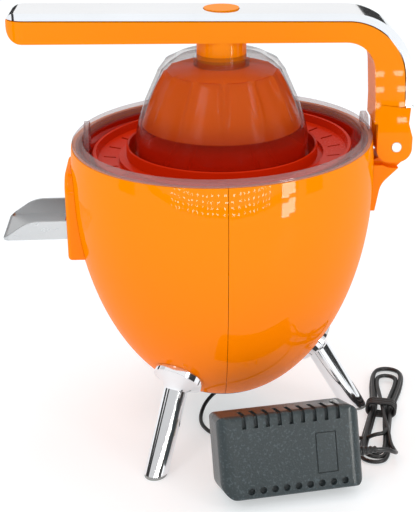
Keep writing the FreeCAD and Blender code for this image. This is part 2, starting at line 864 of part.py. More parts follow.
def reamer():
    base = reamer_base_z
    top = base + reamer_height
    points = [
        (reamer_cavity_radius, base),
        (reamer_radius - 1.5, base),
        (reamer_radius, base + 1.5),
        (reamer_radius - 1.5, base + 4.0),
        (28.0, base + 14.0),
        (18.0, base + 32.0),
        (8.5, base + 47.0),
        (2.0, top - 1.0),
        (0.0, top),
        (0.0, base + reamer_cavity_height),
        (reamer_cavity_radius, base + reamer_cavity_height),
    ]
    cone = revolved(points)
    ribs = []
    for index in range(reamer_ribs):
        outline = [
            (1.0, base + 4.0, 0.0),
            (reamer_radius - 1.0, base + 4.0, 0.0),
            (31.5, base + 14.0, 8.0),
            (21.5, base + 32.0, 30.0),
            (11.0, base + 47.0, 12.0),
            (3.0, top - 2.0, 0.0),
        ]
        rib = side_solid(outline, -1.2, 1.2)
        ribs.append(rotated(rib, 360.0 * index / reamer_ribs))
    body = joined([cone] + ribs)
    socket = Part.makeCylinder(shaft_radius + running_gap, shaft_top_z - base, V(0, 0, base))
    flat = box((shaft_radius - 0.75, 10), (-10, 10), (shaft_top_z - 14.0, shaft_top_z + 1.0))
    return body.cut(socket.cut(flat))


def press_cup():
    wall = cup_wall
    outer = [
        (0.0, cup_top_z - 6.0),
        (0.0, cup_top_z),
        (cup_neck_radius, cup_top_z),
        (cup_neck_radius, cup_top_z - 3.6),
        (cup_shoulder_radius - 1.5, cup_shoulder_z + 0.4),
        (cup_shoulder_radius, cup_shoulder_z - 1.0),
        (cup_shoulder_radius + 6.2, cup_shoulder_z - 12.0),
        (cup_bottom_radius, cup_bottom_z),
        (cup_bottom_radius - wall, cup_bottom_z),
        (cup_shoulder_radius + 6.2 - wall, cup_shoulder_z - 12.4),
        (cup_shoulder_radius - wall, cup_shoulder_z - 3.0),
        (cup_neck_radius - 2.0, cup_top_z - 6.0),
    ]
    cup = revolved(outer)
    ribs = []
    for index in range(cup_ribs):
        outline = [
            (cup_shoulder_radius - 1.6, cup_shoulder_z - 2.0, 0.0),
            (cup_shoulder_radius + 5.0, cup_shoulder_z - 12.0, 0.0),
            (cup_bottom_radius - 1.2, cup_bottom_z + 1.0, 0.0),
            (cup_bottom_radius - wall - 4.0, cup_bottom_z + 1.0, 0.0),
            (cup_shoulder_radius + 5.0 - wall - 3.0, cup_shoulder_z - 13.0, 0.0),
            (cup_shoulder_radius - 1.6 - wall - 2.0, cup_shoulder_z - 5.0, 0.0),
        ]
        rib = side_solid(outline, -1.0, 1.0)
        ribs.append(rotated(rib, 270.0 + 360.0 * index / cup_ribs))
    return joined([cup] + ribs)


def smoked_cover():
    wall = cover_wall
    outer = [
        (collar_radius + 0.2, cover_top_z),
        (cover_shoulder_radius - 7.0, cover_top_z - 1.2),
        (cover_shoulder_radius, cover_shoulder_z - 0.4),
        (cover_shoulder_radius + 4.2, cover_shoulder_z - 6.0),
        (46.4, 215.0),
        (50.8, 202.0),
        (52.6, 194.0),
        (cover_bottom_radius, cover_bottom_z),
        (cover_bottom_radius - wall, cover_bottom_z),
        (52.6 - wall, 194.0),
        (50.8 - wall, 202.0),
        (46.4 - wall, 215.0),
        (cover_shoulder_radius + 4.2 - wall, cover_shoulder_z - 6.6),
        (cover_shoulder_radius - wall, cover_shoulder_z - 2.6),
        (cover_shoulder_radius - 7.4, cover_top_z - 1.2 - wall),
        (collar_radius + 2.0, cover_top_z - wall),
        (collar_radius + 2.0, cup_top_z - 3.4),
        (collar_radius + 0.2, cup_top_z - 3.0),
    ]
    return revolved(outer)


# --- Arm ----------------------------------------------------------------------------------------


def arm_outline():
    """Side view of the whole arm, trim included."""
    return [
        (arm_tip_x, arm_under_tip_z, arm_chin_radius),
        (column_inner_top_x, arm_under_bend_z, arm_inner_bend),
        (column_inner_bottom_x, column_bottom_z, 0.0),
        (column_outer_bottom_x, column_bottom_z - 2.6, 0.0),
        (column_outer_top_x, arm_top_bend_z, arm_outer_bend),
        (arm_tip_x, arm_top_tip_z, arm_nose_radius),
    ]


def trim_region(extra):
    """Space above and outside the parting line between the arm's body and its trim."""
    depth = trim_thickness + extra
    corners = [
        (arm_tip_x - 20.0, arm_top_tip_z + 0.3 - depth, 0.0),
        (column_outer_top_x - depth, arm_top_bend_z - depth, arm_outer_bend - depth),
        (column_outer_bottom_x - depth + 0.5, column_bottom_z - 12.0, 0.0),
        (160.0, column_bottom_z - 12.0, 0.0),
        (160.0, 300.0, 0.0),
        (arm_tip_x - 20.0, 300.0, 0.0),
    ]
    return side_solid(corners, -40.0, 40.0)


def arm_envelope(inset):
    """The arm's outer form: side view, rounded tip in plan, and inner edges cut slanting."""
    wire = rounded_wire(arm_outline())
    if inset > 0:
        wire = wire.makeOffset2D(-inset)
    half = arm_half_width - inset
    body = moved(Part.Face(wire).extrude(V(0, 2 * half, 0)), V(0, -half, 0))
    plan = [
        (arm_tip_x + inset, -half, arm_half_width - 3.0 - inset),
        (130.0, -half, 0.0),
        (130.0, half, 0.0),
        (arm_tip_x + inset, half, arm_half_width - 3.0 - inset),
    ]
    return body.common(plan_solid(plan, 190.0, 290.0))


def arm_body():
    outer = arm_envelope(0.0).cut(trim_region(trim_gap))
    inner = arm_envelope(arm_wall).cut(trim_region(trim_gap + 1.8))
    shell = outer.cut(inner)
    socket = Part.makeCylinder(collar_radius, 266.0 - 255.0, V(0, 0, 254.4))
    socket = socket.common(box((-30, 30), (-arm_half_width, arm_half_width), (250, 264.2)))
    shell = joined([shell, socket])
    bolt = Part.makeCylinder(4.3, 60.0, V(0, 0, 230.0))
    shell = shell.cut(bolt).cut(button_bore(button_top() - button_height - 2.6))
    return shell.cut(arm_screws())


def arm_trim():
    outer = arm_envelope(0.0).common(trim_region(0.0))
    return outer.cut(button_bore(250.0))


def button_top():
    """Height of the button's face, a little above the trim on the collar's axis."""
    share = (0.0 - arm_tip_x) / (column_outer_top_x - arm_tip_x)
    return arm_top_tip_z + (arm_top_bend_z - arm_top_tip_z) * share + button_proud


def button_bore(z_low):
    """Well for the button in the arm and its trim."""
    return Part.makeCylinder(button_radius + 0.35, 40.0, V(0, 0, z_low))


def release_button():
    cap = Part.makeCylinder(button_radius, button_height, V(0, 0, button_top() - button_height))
    stem = Part.makeCylinder(2.4, 1.2, V(0, 0, button_top() - button_height - 1.2))
    return joined([cap, stem])


def bolt_top():
    """The bolt ends below the button's spring."""
    return button_top() - button_height - 4.6


def button_spring():
    return tube(3.9, 3.1, button_top() - button_height - bolt_top(), V(0, 0, bolt_top()))


def collar():
    body = tube(collar_radius, 4.3, 254.0 - collar_bottom_z, V(0, 0, collar_bottom_z))
    recess = Part.makeCylinder(cup_neck_radius + 0.2, 0.7, V(0, 0, collar_bottom_z))
    return body.cut(arm_envelope(0.0)).cut(recess)


def cup_bolt():
    """Bolt that carries the press cup, from under the button down into the cup's neck."""
    base = cup_top_z + joint_gap
    return Part.makeCylinder(4.0, bolt_top() - base, V(0, 0, base))


def knuckle():
    """Lower end of the arm: a block on two cheeks that straddle the bracket's lug."""
    block = side_solid([
        (column_inner_bottom_x, pin_z + block_bottom, 0.0),
        (pin_x + block_front, pin_z + block_bottom, 0.0),
        (pin_x + block_front + 0.6, column_bottom_z - 3.0, 0.0),
        (column_inner_bottom_x, column_bottom_z - joint_gap, 0.0),
    ], -arm_half_width, arm_half_width)
    cheek_outline = [
        (pin_x - cheek_back, pin_z + block_bottom + 4.0, 0.0),
        (pin_x - cheek_back, pin_z - cheek_below, 8.0),
        (pin_x + cheek_front, pin_z - cheek_below, 8.8),
        (pin_x + cheek_front, pin_z + 6.0, 3.0),
        (pin_x + block_front, pin_z + block_bottom, 0.0),
        (pin_x + block_front, pin_z + block_bottom + 4.0, 0.0),
    ]
    cheeks = [
        side_solid(cheek_outline, cheek_inner, arm_half_width),
        side_solid(cheek_outline, -arm_half_width, -cheek_inner),
    ]
    body = joined([block] + cheeks)
    return body.cut(Part.makeCylinder(pin_radius, 60.0, V(pin_x, -30.0, pin_z), Y_AXIS))


def hinge_pin():
    reach = arm_half_width + 0.4
    pin = Part.makeCylinder(pin_radius, 2 * reach, V(pin_x, -reach, pin_z), Y_AXIS)
    return pin.makeChamfer(0.4, [edge for edge in pin.Edges if len(edge.Vertexes) == 1])


def arm_screws():
    """Two screws that clamp the knuckle to the column."""
    screws = []
    for y in (-5.5, 5.5):
        shank = Part.makeCylinder(1.6, 16.0, V(pin_x - 4.0, y, pin_z + block_bottom - 0.2))
        head = Part.makeCylinder(3.0, 2.0, V(pin_x - 4.0, y, pin_z + block_bottom - 2.2))
        screws.append(joined([shank, head]))
    return screws


def hinge_bracket():
    """Lug on the bowl's side: its foot follows the egg and spreads below the cheeks."""
    lug = side_solid([
        (85.0, pin_z - 14.0, 0.0),
        (pin_x - lug_radius, pin_z - 8.0, 0.0),
        (pin_x - lug_radius, pin_z + lug_radius, lug_radius - 0.4),
        (pin_x + lug_radius, pin_z + lug_radius, lug_radius - 0.4),
        (pin_x + lug_radius, pin_z - 7.0, 6.0),
        (96.6, pin_z - 24.0, 14.0),
        (93.6, bracket_foot_z, 0.0),
        (85.0, bracket_foot_z, 0.0),
    ], -lug_half_width, lug_half_width)
    foot = side_solid([
        (80.0, pin_z - 12.0, 0.0),
        (pin_x - 3.0, pin_z - 12.0, 0.0),
        (pin_x + 3.0, pin_z - 13.0, 0.0),
        (96.6, pin_z - 24.0, 14.0),
        (93.6, bracket_foot_z, 0.0),
        (80.0, bracket_foot_z, 0.0),
    ], -base_half_width, base_half_width)
    sweep = cheek_back + 2.2
    foot = foot.cut(Part.makeCylinder(sweep, 60.0, V(pin_x, -30.0, pin_z), Y_AXIS))
    body = joined([lug, foot]).cut(egg_solid(-joint_gap / 2, 60.0, 205.0))
    body = body.cut(Part.makeCylinder(pin_radius + running_gap, 60.0, V(pin_x, -30.0, pin_z), Y_AXIS))
    for height in bracket_screw_heights():
        body = body.cut(Part.makeCylinder(1.9, 8.0, V(egg_radius(height) - 4.0, 0, height), X_AXIS))
    return body


def bracket_screws():
    screws = []
    for height in bracket_screw_heights():
        inside = egg_radius(height, bowl_wall) - 1.4
        reach = egg_radius(height) + 3.6 - inside
        shank = Part.makeCylinder(1.9, reach, V(inside, 0, height), X_AXIS)
        head = Part.makeCylinder(3.4, 2.0, V(inside - 2.0, 0, height), X_AXIS)
        screws.append(joined([shank, head]))
    return Part.makeCompound(screws)


# --- Power supply and cord ----------------------------------------------------------------------


def cord_tube(corners, diameter):
    """Round cord along straight runs joined by tangent arcs; prints its length and radii."""
    edges = []
    start = corners[0]
    length = 0.0
    radii = []
    for index in range(1, len(corners) - 1):
        here = corners[index]
        back = corners[index - 1] - here
        ahead = corners[index + 1] - here
        half_turn = (math.pi - back.getAngle(ahead)) / 2
        run = 0.45 * min(back.Length, ahead.Length)
        radius = run / math.tan(half_turn)
        back.normalize()
        ahead.normalize()
        first = here + back * run
        last = here + ahead * run
        bisector = (back + ahead).normalize()
        middle = here + bisector * (radius / math.cos(half_turn) - radius)
        edges.append(Part.LineSegment(start, first).toShape())
        edges.append(Part.Arc(first, middle, last).toShape())
        length += (first - start).Length + 2 * half_turn * radius
        radii.append(round(radius, 1))
        start = last
    edges.append(Part.LineSegment(start, corners[-1]).toShape())
    length += (corners[-1] - start).Length
    path = Part.Wire(edges)
    section = Part.Wire(Part.makeCircle(diameter / 2, corners[0], corners[1] - corners[0]))
    solid = path.makePipeShell([section], True, True)
    expected = math.pi * diameter ** 2 / 4 * length
    ratio = round(solid.Volume / expected, 4)
    print("  cord length", round(length, 1), "radii", radii, "volume ratio", ratio)
    return solid


cord_z = cord_diameter / 2 + 0.05

# From the plug under the bowl, over the floor behind the power supply, to the hank.
lead_route = [
    V(5.6, 8.1, 12.0),
    V(-2.5, 5.7, 12.0),
    V(-11.5, 1.2, 5.0),
    V(-15.6, -10.5, cord_z),
    V(-15.0, -24.0, cord_z),
    V(-7.0, -36.0, cord_z),
    V(8.0, -42.5, cord_z),
    V(27.0, -44.5, cord_z),
    V(48.0, -42.0, cord_z),
    V(66.0, -40.5, cord_z),
    V(81.0, -43.0, cord_z),
    V(89.5, -46.0, cord_z + 1.2),
]


def adapter_frame(shape):
    """Place a piece made in the power supply's own frame: X length, -Y front, Z height."""
    placed = rotated(shape, -adapter_lean_deg, ORIGIN, X_AXIS)
    lean = math.radians(adapter_lean_deg)
    lift = adapter_edge * (1.0 - (math.cos(lean) + math.sin(lean)))
    placed.translate(V(0, 0, lift))
    placed.rotate(ORIGIN, Z_AXIS, adapter_yaw_deg)
    placed.translate(V(adapter_x, adapter_y, 0))
    return placed


def adapter_block():
    """Whole case: rounded at the back edges it leans on, and at its ends."""
    half = adapter_length / 2
    section = Part.Face(rounded_wire([
        (0.0, 0.0, adapter_edge),
        (adapter_depth, 0.0, 3.0),
        (adapter_depth, adapter_height, 3.0),
        (0.0, adapter_height, 6.0),
    ], "XY"))
    profile = section.extrude(V(0, 0, adapter_length))
    # The section's x runs from the back to the front and its y runs up.
    profile = rotated(profile, 90.0, ORIGIN, X_AXIS)
    profile = rotated(profile, -90.0, ORIGIN, Z_AXIS)
    box_low = profile.BoundBox
    profile.translate(V(-half - box_low.XMin, -adapter_depth - box_low.YMin, -box_low.ZMin))
    outline = side_solid([
        (-half, 0.0, 11.0),
        (half, 0.0, 7.0),
        (half, adapter_height, 9.5),
        (-half, adapter_height, 4.0),
    ], -adapter_depth - 5.0, 5.0)
    plan = plan_solid([
        (-half, -adapter_depth, adapter_front_edge),
        (half, -adapter_depth, adapter_front_edge),
        (half, 0.0, 2.0),
        (-half, 0.0, 2.0),
    ], -5.0, adapter_height + 5.0)
    return profile.common(outline).common(plan)


def adapter_halves():
    block = adapter_block()
    parting = -11.0
    back = block.common(box((-60, 60), (parting + 0.15, 5), (-5, 60)))
    front = block.common(box((-60, 60), (-40, parting - 0.15), (-5, 60)))
    face_y = -adapter_depth - 1.0
    slot_end = -adapter_depth + adapter_slot_depth
    holes = []
    for index in range(adapter_slot_count):
        x = adapter_slot_first + index * adapter_slot_pitch
        across = (x - adapter_slot_half_width, x + adapter_slot_half_width)
        slot_low = adapter_height - adapter_slot_length
        holes.append(box(across, (face_y, slot_end), (slot_low, adapter_height + 1.0)))
        holes.append(box(across, (face_y, -16.0), (adapter_height - 1.4, adapter_height + 1.0)))
        port = V(adapter_port_first + index * adapter_slot_pitch, face_y, adapter_port_z)
        holes.append(Part.makeCylinder(adapter_port_radius, slot_end - face_y, port, Y_AXIS))
    front = front.cut(holes)
    groove = adapter_panel_groove
    (low_x, high_x), (low_z, high_z) = adapter_panel_x, adapter_panel_z
    panel = box((low_x, high_x), (face_y, -adapter_depth + 0.8), (low_z, high_z))
    island = box(
        (low_x + groove, high_x - groove),
        (face_y - 1.0, -adapter_depth + 2.0),
        (low_z + groove, high_z - groove),
    )
    front = front.cut(panel.cut(island))
    return adapter_frame(front), adapter_frame(back)


def adapter_blades():
    blades = []
    height = 12.6
    for x in (-blade_spacing / 2, blade_spacing / 2):
        blade = box((x - blade_thickness / 2, x + blade_thickness / 2), (0.2, blade_length),
                    (height - blade_width / 2, height + blade_width / 2))
        blades.append(adapter_frame(blade))
    return Part.makeCompound(blades)


def relief_end(distance):
    """Point on the strain relief's axis, at a distance out of the power supply's end."""
    dot = Part.Vertex(V(adapter_length / 2 + distance, -13.0, 17.0))
    return adapter_frame(dot).Point


def strain_relief():
    relief = Part.makeCone(3.6, 2.2, relief_length, V(adapter_length / 2 + 0.1, -13.0, 17.0), X_AXIS)
    mouth = adapter_length / 2 + relief_length - 5.9
    bore = Part.makeCylinder(cord_diameter / 2, 6.0, V(mouth, -13.0, 17.0), X_AXIS)
    return adapter_frame(relief.cut(bore))


def tail_route():
    """From the strain relief down to the hank's near end."""
    start = relief_end(relief_length - 5.9)
    out = relief_end(relief_length + 5.0)
    return [
        start,
        out,
        V(out.x + 9.0, out.y + 5.0, out.z - 7.0),
        V(out.x + 10.5, out.y + 18.0, cord_z + 2.4),
        V(out.x + 9.0, out.y + 27.0, cord_z + 2.4),
    ]


def power_plug():
    """Right-angle plug in the jack; its boss points the way the cord leaves."""
    barrel = Part.makeCylinder(2.74, 9.0, V(jack_x, jack_y, base_floor_z))
    body = Part.makeCylinder(plug_radius, plug_drop, V(jack_x, jack_y, base_floor_z - joint_gap - plug_drop))
    neck = Part.makeCylinder(2.74, 1.0, V(jack_x, jack_y, base_floor_z - 0.5))
    aim = lead_route[0] - V(jack_x, jack_y, lead_route[0].z)
    boss = Part.makeCone(4.0, 2.4, aim.Length, V(jack_x, jack_y, lead_route[0].z), aim)
    return joined([barrel, body, neck, boss])


def cord_hank():
    """Outer form of the tied hank: a wide loose loop, a waist under the tie, a narrow fan."""
    outline = [
        (85.0, -79.0, 5.0),
        (97.0, -80.0, 5.0),
        (107.0, -48.0, 6.0),
        (112.0, -12.0, 12.0),
        (131.0, 14.0, 12.0),
        (131.5, 40.0, 9.0),
        (118.0, 50.0, 9.0),
        (108.0, 36.0, 12.0),
        (105.0, 10.0, 12.0),
        (99.4, -12.0, 12.0),
        (90.0, -42.0, 10.0),
    ]
    return plan_solid(outline, 0.05, hank_height)


def hank_tie():
    """Turns of the cord itself around the hank's waist."""
    centre = V(104.6, -14.0, 0.05)
    outer = box((-9.6, 9.6), (-4.0, 4.0), (0, hank_height + 2.4))
    along = [edge for edge in outer.Edges if abs(edge.Vertexes[0].Y - edge.Vertexes[1].Y) > 5]
    outer = outer.makeFillet(1.5, along)
    return moved(rotated(outer, -14.0), centre).cut(cord_hank())


def build():
    os.makedirs("parts", exist_ok=True)
    left_shell, right_shell = shell_parts()
    save("shell_spout_side", left_shell)
    save("shell_hinge_side", right_shell)
    save("base_cover", base_cover())
    save("base_screws", base_screws())
    for name, angle in leg_angles_deg.items():
        save("leg_" + name, rotated(leg(), angle))
    angles = list(leg_angles_deg.values())
    save("foot_pads", Part.makeCompound([rotated(foot_pad(), angle) for angle in angles]))
    save("leg_screws", Part.makeCompound([rotated(leg_screw_solid(), angle) for angle in angles]))
    save("motor_deck", motor_deck())
    save("deck_screws", deck_screws())
    save("shaft_bearing", bearing())
    save("shaft_seal", shaft_seal())
    save("gear_frame", gear_frame())
    save("idler_pin", idler_pin())
    save("motor", motor())
    save("motor_end_bell", motor_end_bell())
    save("motor_pinion", motor_pinion())
    save("idler_gear", idler())
    save("output_gear", output_gear())
    save("drive_shaft", drive_shaft())
    save("thrust_cup", thrust_cup())
    save("return_spring", return_spring())
    save("micro_switch", micro_switch())
    save("power_jack", power_jack())
    save("wiring", wiring())
    save("juice_collector", juice_collector())
    save("collector_floor", collector_floor())
    save("collector_chimney", collector_chimney())
    save("collector_outlet", collector_outlet())
    save("collector_ledge", collector_ledge())
    save("collector_rim", collector_rim())
    save("strainer", strainer())
    save("spout", spout())
    save("spout_plate", spout_plate())
    save("reamer", reamer())
    save("press_cup", press_cup())
    save("smoked_cover", smoked_cover())
    save("arm_body", arm_body())
    save("arm_trim", arm_trim())
    save("release_button", release_button())
    save("button_spring", button_spring())
    save("collar", collar())
    save("cup_bolt", cup_bolt())
    save("knuckle", knuckle().cut(arm_screws()))
    save("arm_screws", Part.makeCompound(arm_screws()))
    save("hinge_pin", hinge_pin())
    save("hinge_bracket", hinge_bracket())
    save("bracket_screws", bracket_screws())
    front, back = adapter_halves()
    save("adapter_front", front)
    save("adapter_back", back)
    save("adapter_blades", adapter_blades())
    save("strain_relief", strain_relief())
    save("power_plug", power_plug())
    save("cord_lead", cord_tube(lead_route, cord_diameter))
    save("cord_tail", cord_tube(tail_route(), cord_diameter))
    save("cord_hank", cord_hank())
    save("hank_tie", hank_tie())


build()
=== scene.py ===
import json
import math

import bmesh
import bpy
from bpy.props import (
    FloatProperty,
    FloatVectorProperty,
    IntProperty,
    PointerProperty,
)
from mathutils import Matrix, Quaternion, Vector


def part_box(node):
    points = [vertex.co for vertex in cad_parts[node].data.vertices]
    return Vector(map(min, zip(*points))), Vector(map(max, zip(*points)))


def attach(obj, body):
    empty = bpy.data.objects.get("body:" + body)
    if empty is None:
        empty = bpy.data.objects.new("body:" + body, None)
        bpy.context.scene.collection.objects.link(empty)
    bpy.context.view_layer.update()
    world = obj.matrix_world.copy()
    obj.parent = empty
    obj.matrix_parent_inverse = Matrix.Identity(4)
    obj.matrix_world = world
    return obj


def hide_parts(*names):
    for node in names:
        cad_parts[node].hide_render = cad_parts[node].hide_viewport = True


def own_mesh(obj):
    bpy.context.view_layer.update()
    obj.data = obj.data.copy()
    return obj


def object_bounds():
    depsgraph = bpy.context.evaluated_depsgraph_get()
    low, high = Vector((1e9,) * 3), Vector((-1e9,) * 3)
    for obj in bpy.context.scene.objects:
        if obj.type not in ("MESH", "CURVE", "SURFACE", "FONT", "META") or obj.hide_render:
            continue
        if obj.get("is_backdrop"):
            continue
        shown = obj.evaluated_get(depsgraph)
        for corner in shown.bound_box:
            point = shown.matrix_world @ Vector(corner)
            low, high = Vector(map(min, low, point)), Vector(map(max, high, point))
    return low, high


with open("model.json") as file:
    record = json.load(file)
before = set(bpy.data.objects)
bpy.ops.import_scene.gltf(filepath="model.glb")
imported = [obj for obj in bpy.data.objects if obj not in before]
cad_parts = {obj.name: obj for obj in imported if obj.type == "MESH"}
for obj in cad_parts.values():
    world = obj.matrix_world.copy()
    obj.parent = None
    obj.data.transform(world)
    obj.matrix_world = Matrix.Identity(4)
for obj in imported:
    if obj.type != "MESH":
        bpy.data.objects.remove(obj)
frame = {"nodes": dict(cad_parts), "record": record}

CAD_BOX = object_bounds()

bl_info = {
    "name": "Lever Citrus Press",
    "version": (1, 0, 0),
    "blender": (4, 5, 0),
    "location": "View3D > Sidebar > Press",
    "description": "Finishes, soft pieces and stage of a lever citrus press",
    "category": "Object",
}


def node_middle(name):
    """Middle of a CAD node's box."""
    low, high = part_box(name)
    return (Vector(low) + Vector(high)) / 2


AXIS_X = node_middle("shaft_seal").x
MM = 0.001
FINISH_PREFIX = "press_"      # the frame's own materials already carry the plain slot names
RIM_SLOPE = 0.0216            # rise of the bowl's rim along X


def at(x, y, z):
    """A point given in millimetres about the bowl's axis, in the frame's metres."""
    return Vector((AXIS_X + x * MM, y * MM, z * MM))


# --- Shader and geometry graphs ------------------------------------------------------------------


class Value:
    """One number in a shader; arithmetic on it adds the Math nodes that work it out."""

    def __init__(self, graph, socket):
        self.graph = graph
        self.socket = socket

    def math(self, operation, *others):
        inputs = dict(enumerate((self,) + others))
        node = self.graph.node("ShaderNodeMath", {"operation": operation}, inputs)
        return Value(self.graph, node.outputs[0])

    def reflected(self, operation, other):
        node = self.graph.node("ShaderNodeMath", {"operation": operation}, {0: other, 1: self})
        return Value(self.graph, node.outputs[0])

    def __add__(self, other):
        return self.math("ADD", other)

    __radd__ = __add__

    def __sub__(self, other):
        return self.math("SUBTRACT", other)

    def __rsub__(self, other):
        return self.reflected("SUBTRACT", other)

    def __mul__(self, other):
        return self.math("MULTIPLY", other)

    __rmul__ = __mul__

    def step(self, low, high):
        """0 below low, 1 above high, smooth between them."""
        inputs = {"Value": self, "From Min": low, "From Max": high}
        settings = {"interpolation_type": "SMOOTHSTEP"}
        node = self.graph.node("ShaderNodeMapRange", settings, inputs)
        return Value(self.graph, node.outputs["Result"])


class Graph:
    """Adds nodes to a shader or geometry tree."""

    def __init__(self, tree):
        self.tree = tree

    def node(self, kind, settings=None, inputs=None):
        made = self.tree.nodes.new(kind)
        for name, value in (settings or {}).items():
            setattr(made, name, value)
        for key, value in (inputs or {}).items():
            self.feed(made.inputs[key], value)
        return made

    def feed(self, socket, value):
        if isinstance(value, Value):
            value = value.socket
        if isinstance(value, bpy.types.NodeSocket):
            self.tree.links.new(value, socket)
        else:
            socket.default_value = value

    def object_point(self, scale=(1.0, 1.0, 1.0)):
        coordinates = self.node("ShaderNodeTexCoord").outputs["Object"]
        inputs = {"Vector": coordinates, "Scale": scale}
        return self.node("ShaderNodeMapping", None, inputs).outputs["Vector"]

    def height(self, slope=0.0):
        """Height above the floor, less the rise of a plane that climbs along X by this slope."""
        point = self.node("ShaderNodeTexCoord").outputs["Object"]
        split = self.node("ShaderNodeSeparateXYZ", None, {0: point})
        rise = (Value(self, split.outputs["X"]) - AXIS_X) * slope
        return Value(self, split.outputs["Z"]) - rise

    def noise(self, scale, detail=2.0, stretch=(1.0, 1.0, 1.0)):
        inputs = {"Vector": self.object_point(stretch), "Scale": scale, "Detail": detail}
        node = self.node("ShaderNodeTexNoise", None, inputs)
        return Value(self, node.outputs[0])

    def cells(self, scale):
        inputs = {"Vector": self.object_point(), "Scale": scale}
        node = self.node("ShaderNodeTexVoronoi", None, inputs)
        return Value(self, node.outputs["Distance"])

    def mix(self, factor, first, second):
        inputs = {0: factor, 6: first, 7: second}
        node = self.node("ShaderNodeMix", {"data_type": "RGBA"}, inputs)
        return node.outputs[2]

    def bump(self, height, strength, distance):
        inputs = {"Height": height, "Strength": strength, "Distance": distance}
        return self.node("ShaderNodeBump", None, inputs).outputs["Normal"]


def rgba(colour):
    return (colour[0], colour[1], colour[2], 1.0)


def shade(colour, factor):
    return tuple(min(1.0, channel * factor) for channel in colour)


def new_finish(name):
    """An empty material with one Principled shader, and its graph."""
    material = bpy.data.materials.new(FINISH_PREFIX + name)
    material.use_nodes = True
    material.node_tree.nodes.clear()
    graph = Graph(material.node_tree)
    shader = graph.node("ShaderNodeBsdfPrincipled")
    graph.node("ShaderNodeOutputMaterial", None, {"Surface": shader.outputs[0]})
    return material, graph, shader


def moulded_finish(name, colour, roughness, coat=0.0, grain=900.0, specular=0.5):
    """Moulded plastic: slow drift of colour and gloss over a fine moulded surface."""
    drift, depth = 0.08, 0.00002
    material, graph, shader = new_finish(name)
    drifting = graph.noise(14.0, 3.0)
    dark = rgba(shade(colour, 1.0 - drift))
    light = rgba(shade(colour, 1.0 + drift))
    surface = graph.noise(grain, 2.0)
    graph.feed(shader.inputs["Base Color"], graph.mix(drifting, dark, light))
    graph.feed(shader.inputs["Roughness"], drifting * 0.06 + surface * 0.04 + (roughness - 0.05))
    graph.feed(shader.inputs["Normal"], graph.bump(surface, 0.25, depth))
    shader.inputs["Specular IOR Level"].default_value = specular
    shader.inputs["Coat Weight"].default_value = coat
    shader.inputs["Coat Roughness"].default_value = 0.03
    return material


def metal_finish(name, colour, roughness, grain, stretch):
    """Metal with a grain: stretched noise in gloss and height, and faint wiping marks."""
    material, graph, shader = new_finish(name)
    lines = graph.noise(grain, 3.0, stretch)
    marks = graph.noise(28.0, 4.0)
    tone = graph.mix(marks, rgba(shade(colour, 0.93)), rgba(shade(colour, 1.04)))
    graph.feed(shader.inputs["Base Color"], tone)
    gloss = lines * (roughness * 0.5) + marks * 0.03 + roughness * 0.7
    graph.feed(shader.inputs["Roughness"], gloss)
    groove_depth = 0.00001
    graph.feed(shader.inputs["Normal"], graph.bump(lines, 0.2, groove_depth))
    shader.inputs["Metallic"].default_value = 1.0
    return material


def textured_finish(name, colour, roughness, pits, depth):
    """Spark-eroded case plastic: small pits, with slightly lighter worn specks."""
    material, graph, shader = new_finish(name)
    cells = graph.cells(pits)
    specks = graph.noise(pits * 0.8, 2.0).step(0.52, 0.72)
    wide = graph.noise(22.0, 2.0)
    base = graph.mix(wide, rgba(shade(colour, 0.85)), rgba(shade(colour, 1.15)))
    worn = rgba(shade(colour, 2.6))
    graph.feed(shader.inputs["Base Color"], graph.mix(specks * 0.6, base, worn))
    graph.feed(shader.inputs["Roughness"], wide * 0.1 + (roughness - 0.05))
    graph.feed(shader.inputs["Normal"], graph.bump(cells, 0.5, depth))
    shader.inputs["Specular IOR Level"].default_value = 0.3
    return material


def orange_finish(name, colour):
    """Glossy orange body colour, with painted shade: a little deeper low on the bowl."""
    material, graph, shader = new_finish(name)
    drifting = graph.noise(9.0, 2.0)
    surface = graph.noise(260.0, 2.0)
    # Painted shade: the colour turns deeper and redder towards the bottom of the bowl.
    low = graph.height().step(0.03, 0.2)
    painted_low_shade = rgba((colour[0], colour[1] * 0.72, colour[2] * 0.6))
    body = graph.mix(low, painted_low_shade, rgba(colour))
    tone = graph.mix(drifting * 0.35, body, rgba(shade(colour, 1.06)))
    graph.feed(shader.inputs["Base Color"], tone)
    graph.feed(shader.inputs["Roughness"], drifting * 0.03 + surface * 0.03 + 0.14)
    graph.feed(shader.inputs["Normal"], graph.bump(surface, 0.12, 0.00003))
    shader.inputs["Specular IOR Level"].default_value = 0.0
    shader.inputs["Coat Weight"].default_value = 0.28
    shader.inputs["Coat Roughness"].default_value = 0.02
    return material


def see_through_finish(
    name, painted_inside_shade, high_colour, change, faint, solid, dense, roughness, slope=0.0
):
    """Clear plastic: a denser tint below the change in height, painted as shade of the inside seen
    through it, and painted dark edges where the surface is seen edge-on.
    """
    material, graph, shader = new_finish(name)
    weight = graph.node("ShaderNodeLayerWeight", None, {"Blend": 0.3})
    edge = Value(graph, weight.outputs["Facing"]).step(0.4, 1.0)
    smear = graph.noise(40.0, 3.0)
    # Painted shade: below the change in height the plastic takes a dense dark red, standing in for
    # the shaded inside seen through it.
    upper = graph.height(slope).step(*change)
    tint = graph.mix(upper, rgba(painted_inside_shade), rgba(high_colour))
    # Painted shade: near-black where the surface is seen edge-on, standing in for the dark that
    # clear plastic shows at its edges by refraction.
    painted_edge_shade = (0.025, 0.012, 0.01, 1.0)
    graph.feed(shader.inputs["Base Color"], graph.mix(edge * 0.8, tint, painted_edge_shade))
    clear = edge * (solid - faint) + smear * 0.04 + (faint - 0.02)
    graph.feed(shader.inputs["Alpha"], clear + (1.0 - upper) * (dense - clear))
    graph.feed(shader.inputs["Roughness"], smear * 0.05 + roughness)
    graph.feed(shader.inputs["Normal"], graph.bump(smear, 0.05, 0.00005))
    shader.inputs["Specular IOR Level"].default_value = 0.1
    shader.inputs["Coat Weight"].default_value = 0.2
    shader.inputs["Coat Roughness"].default_value = 0.02
    return material


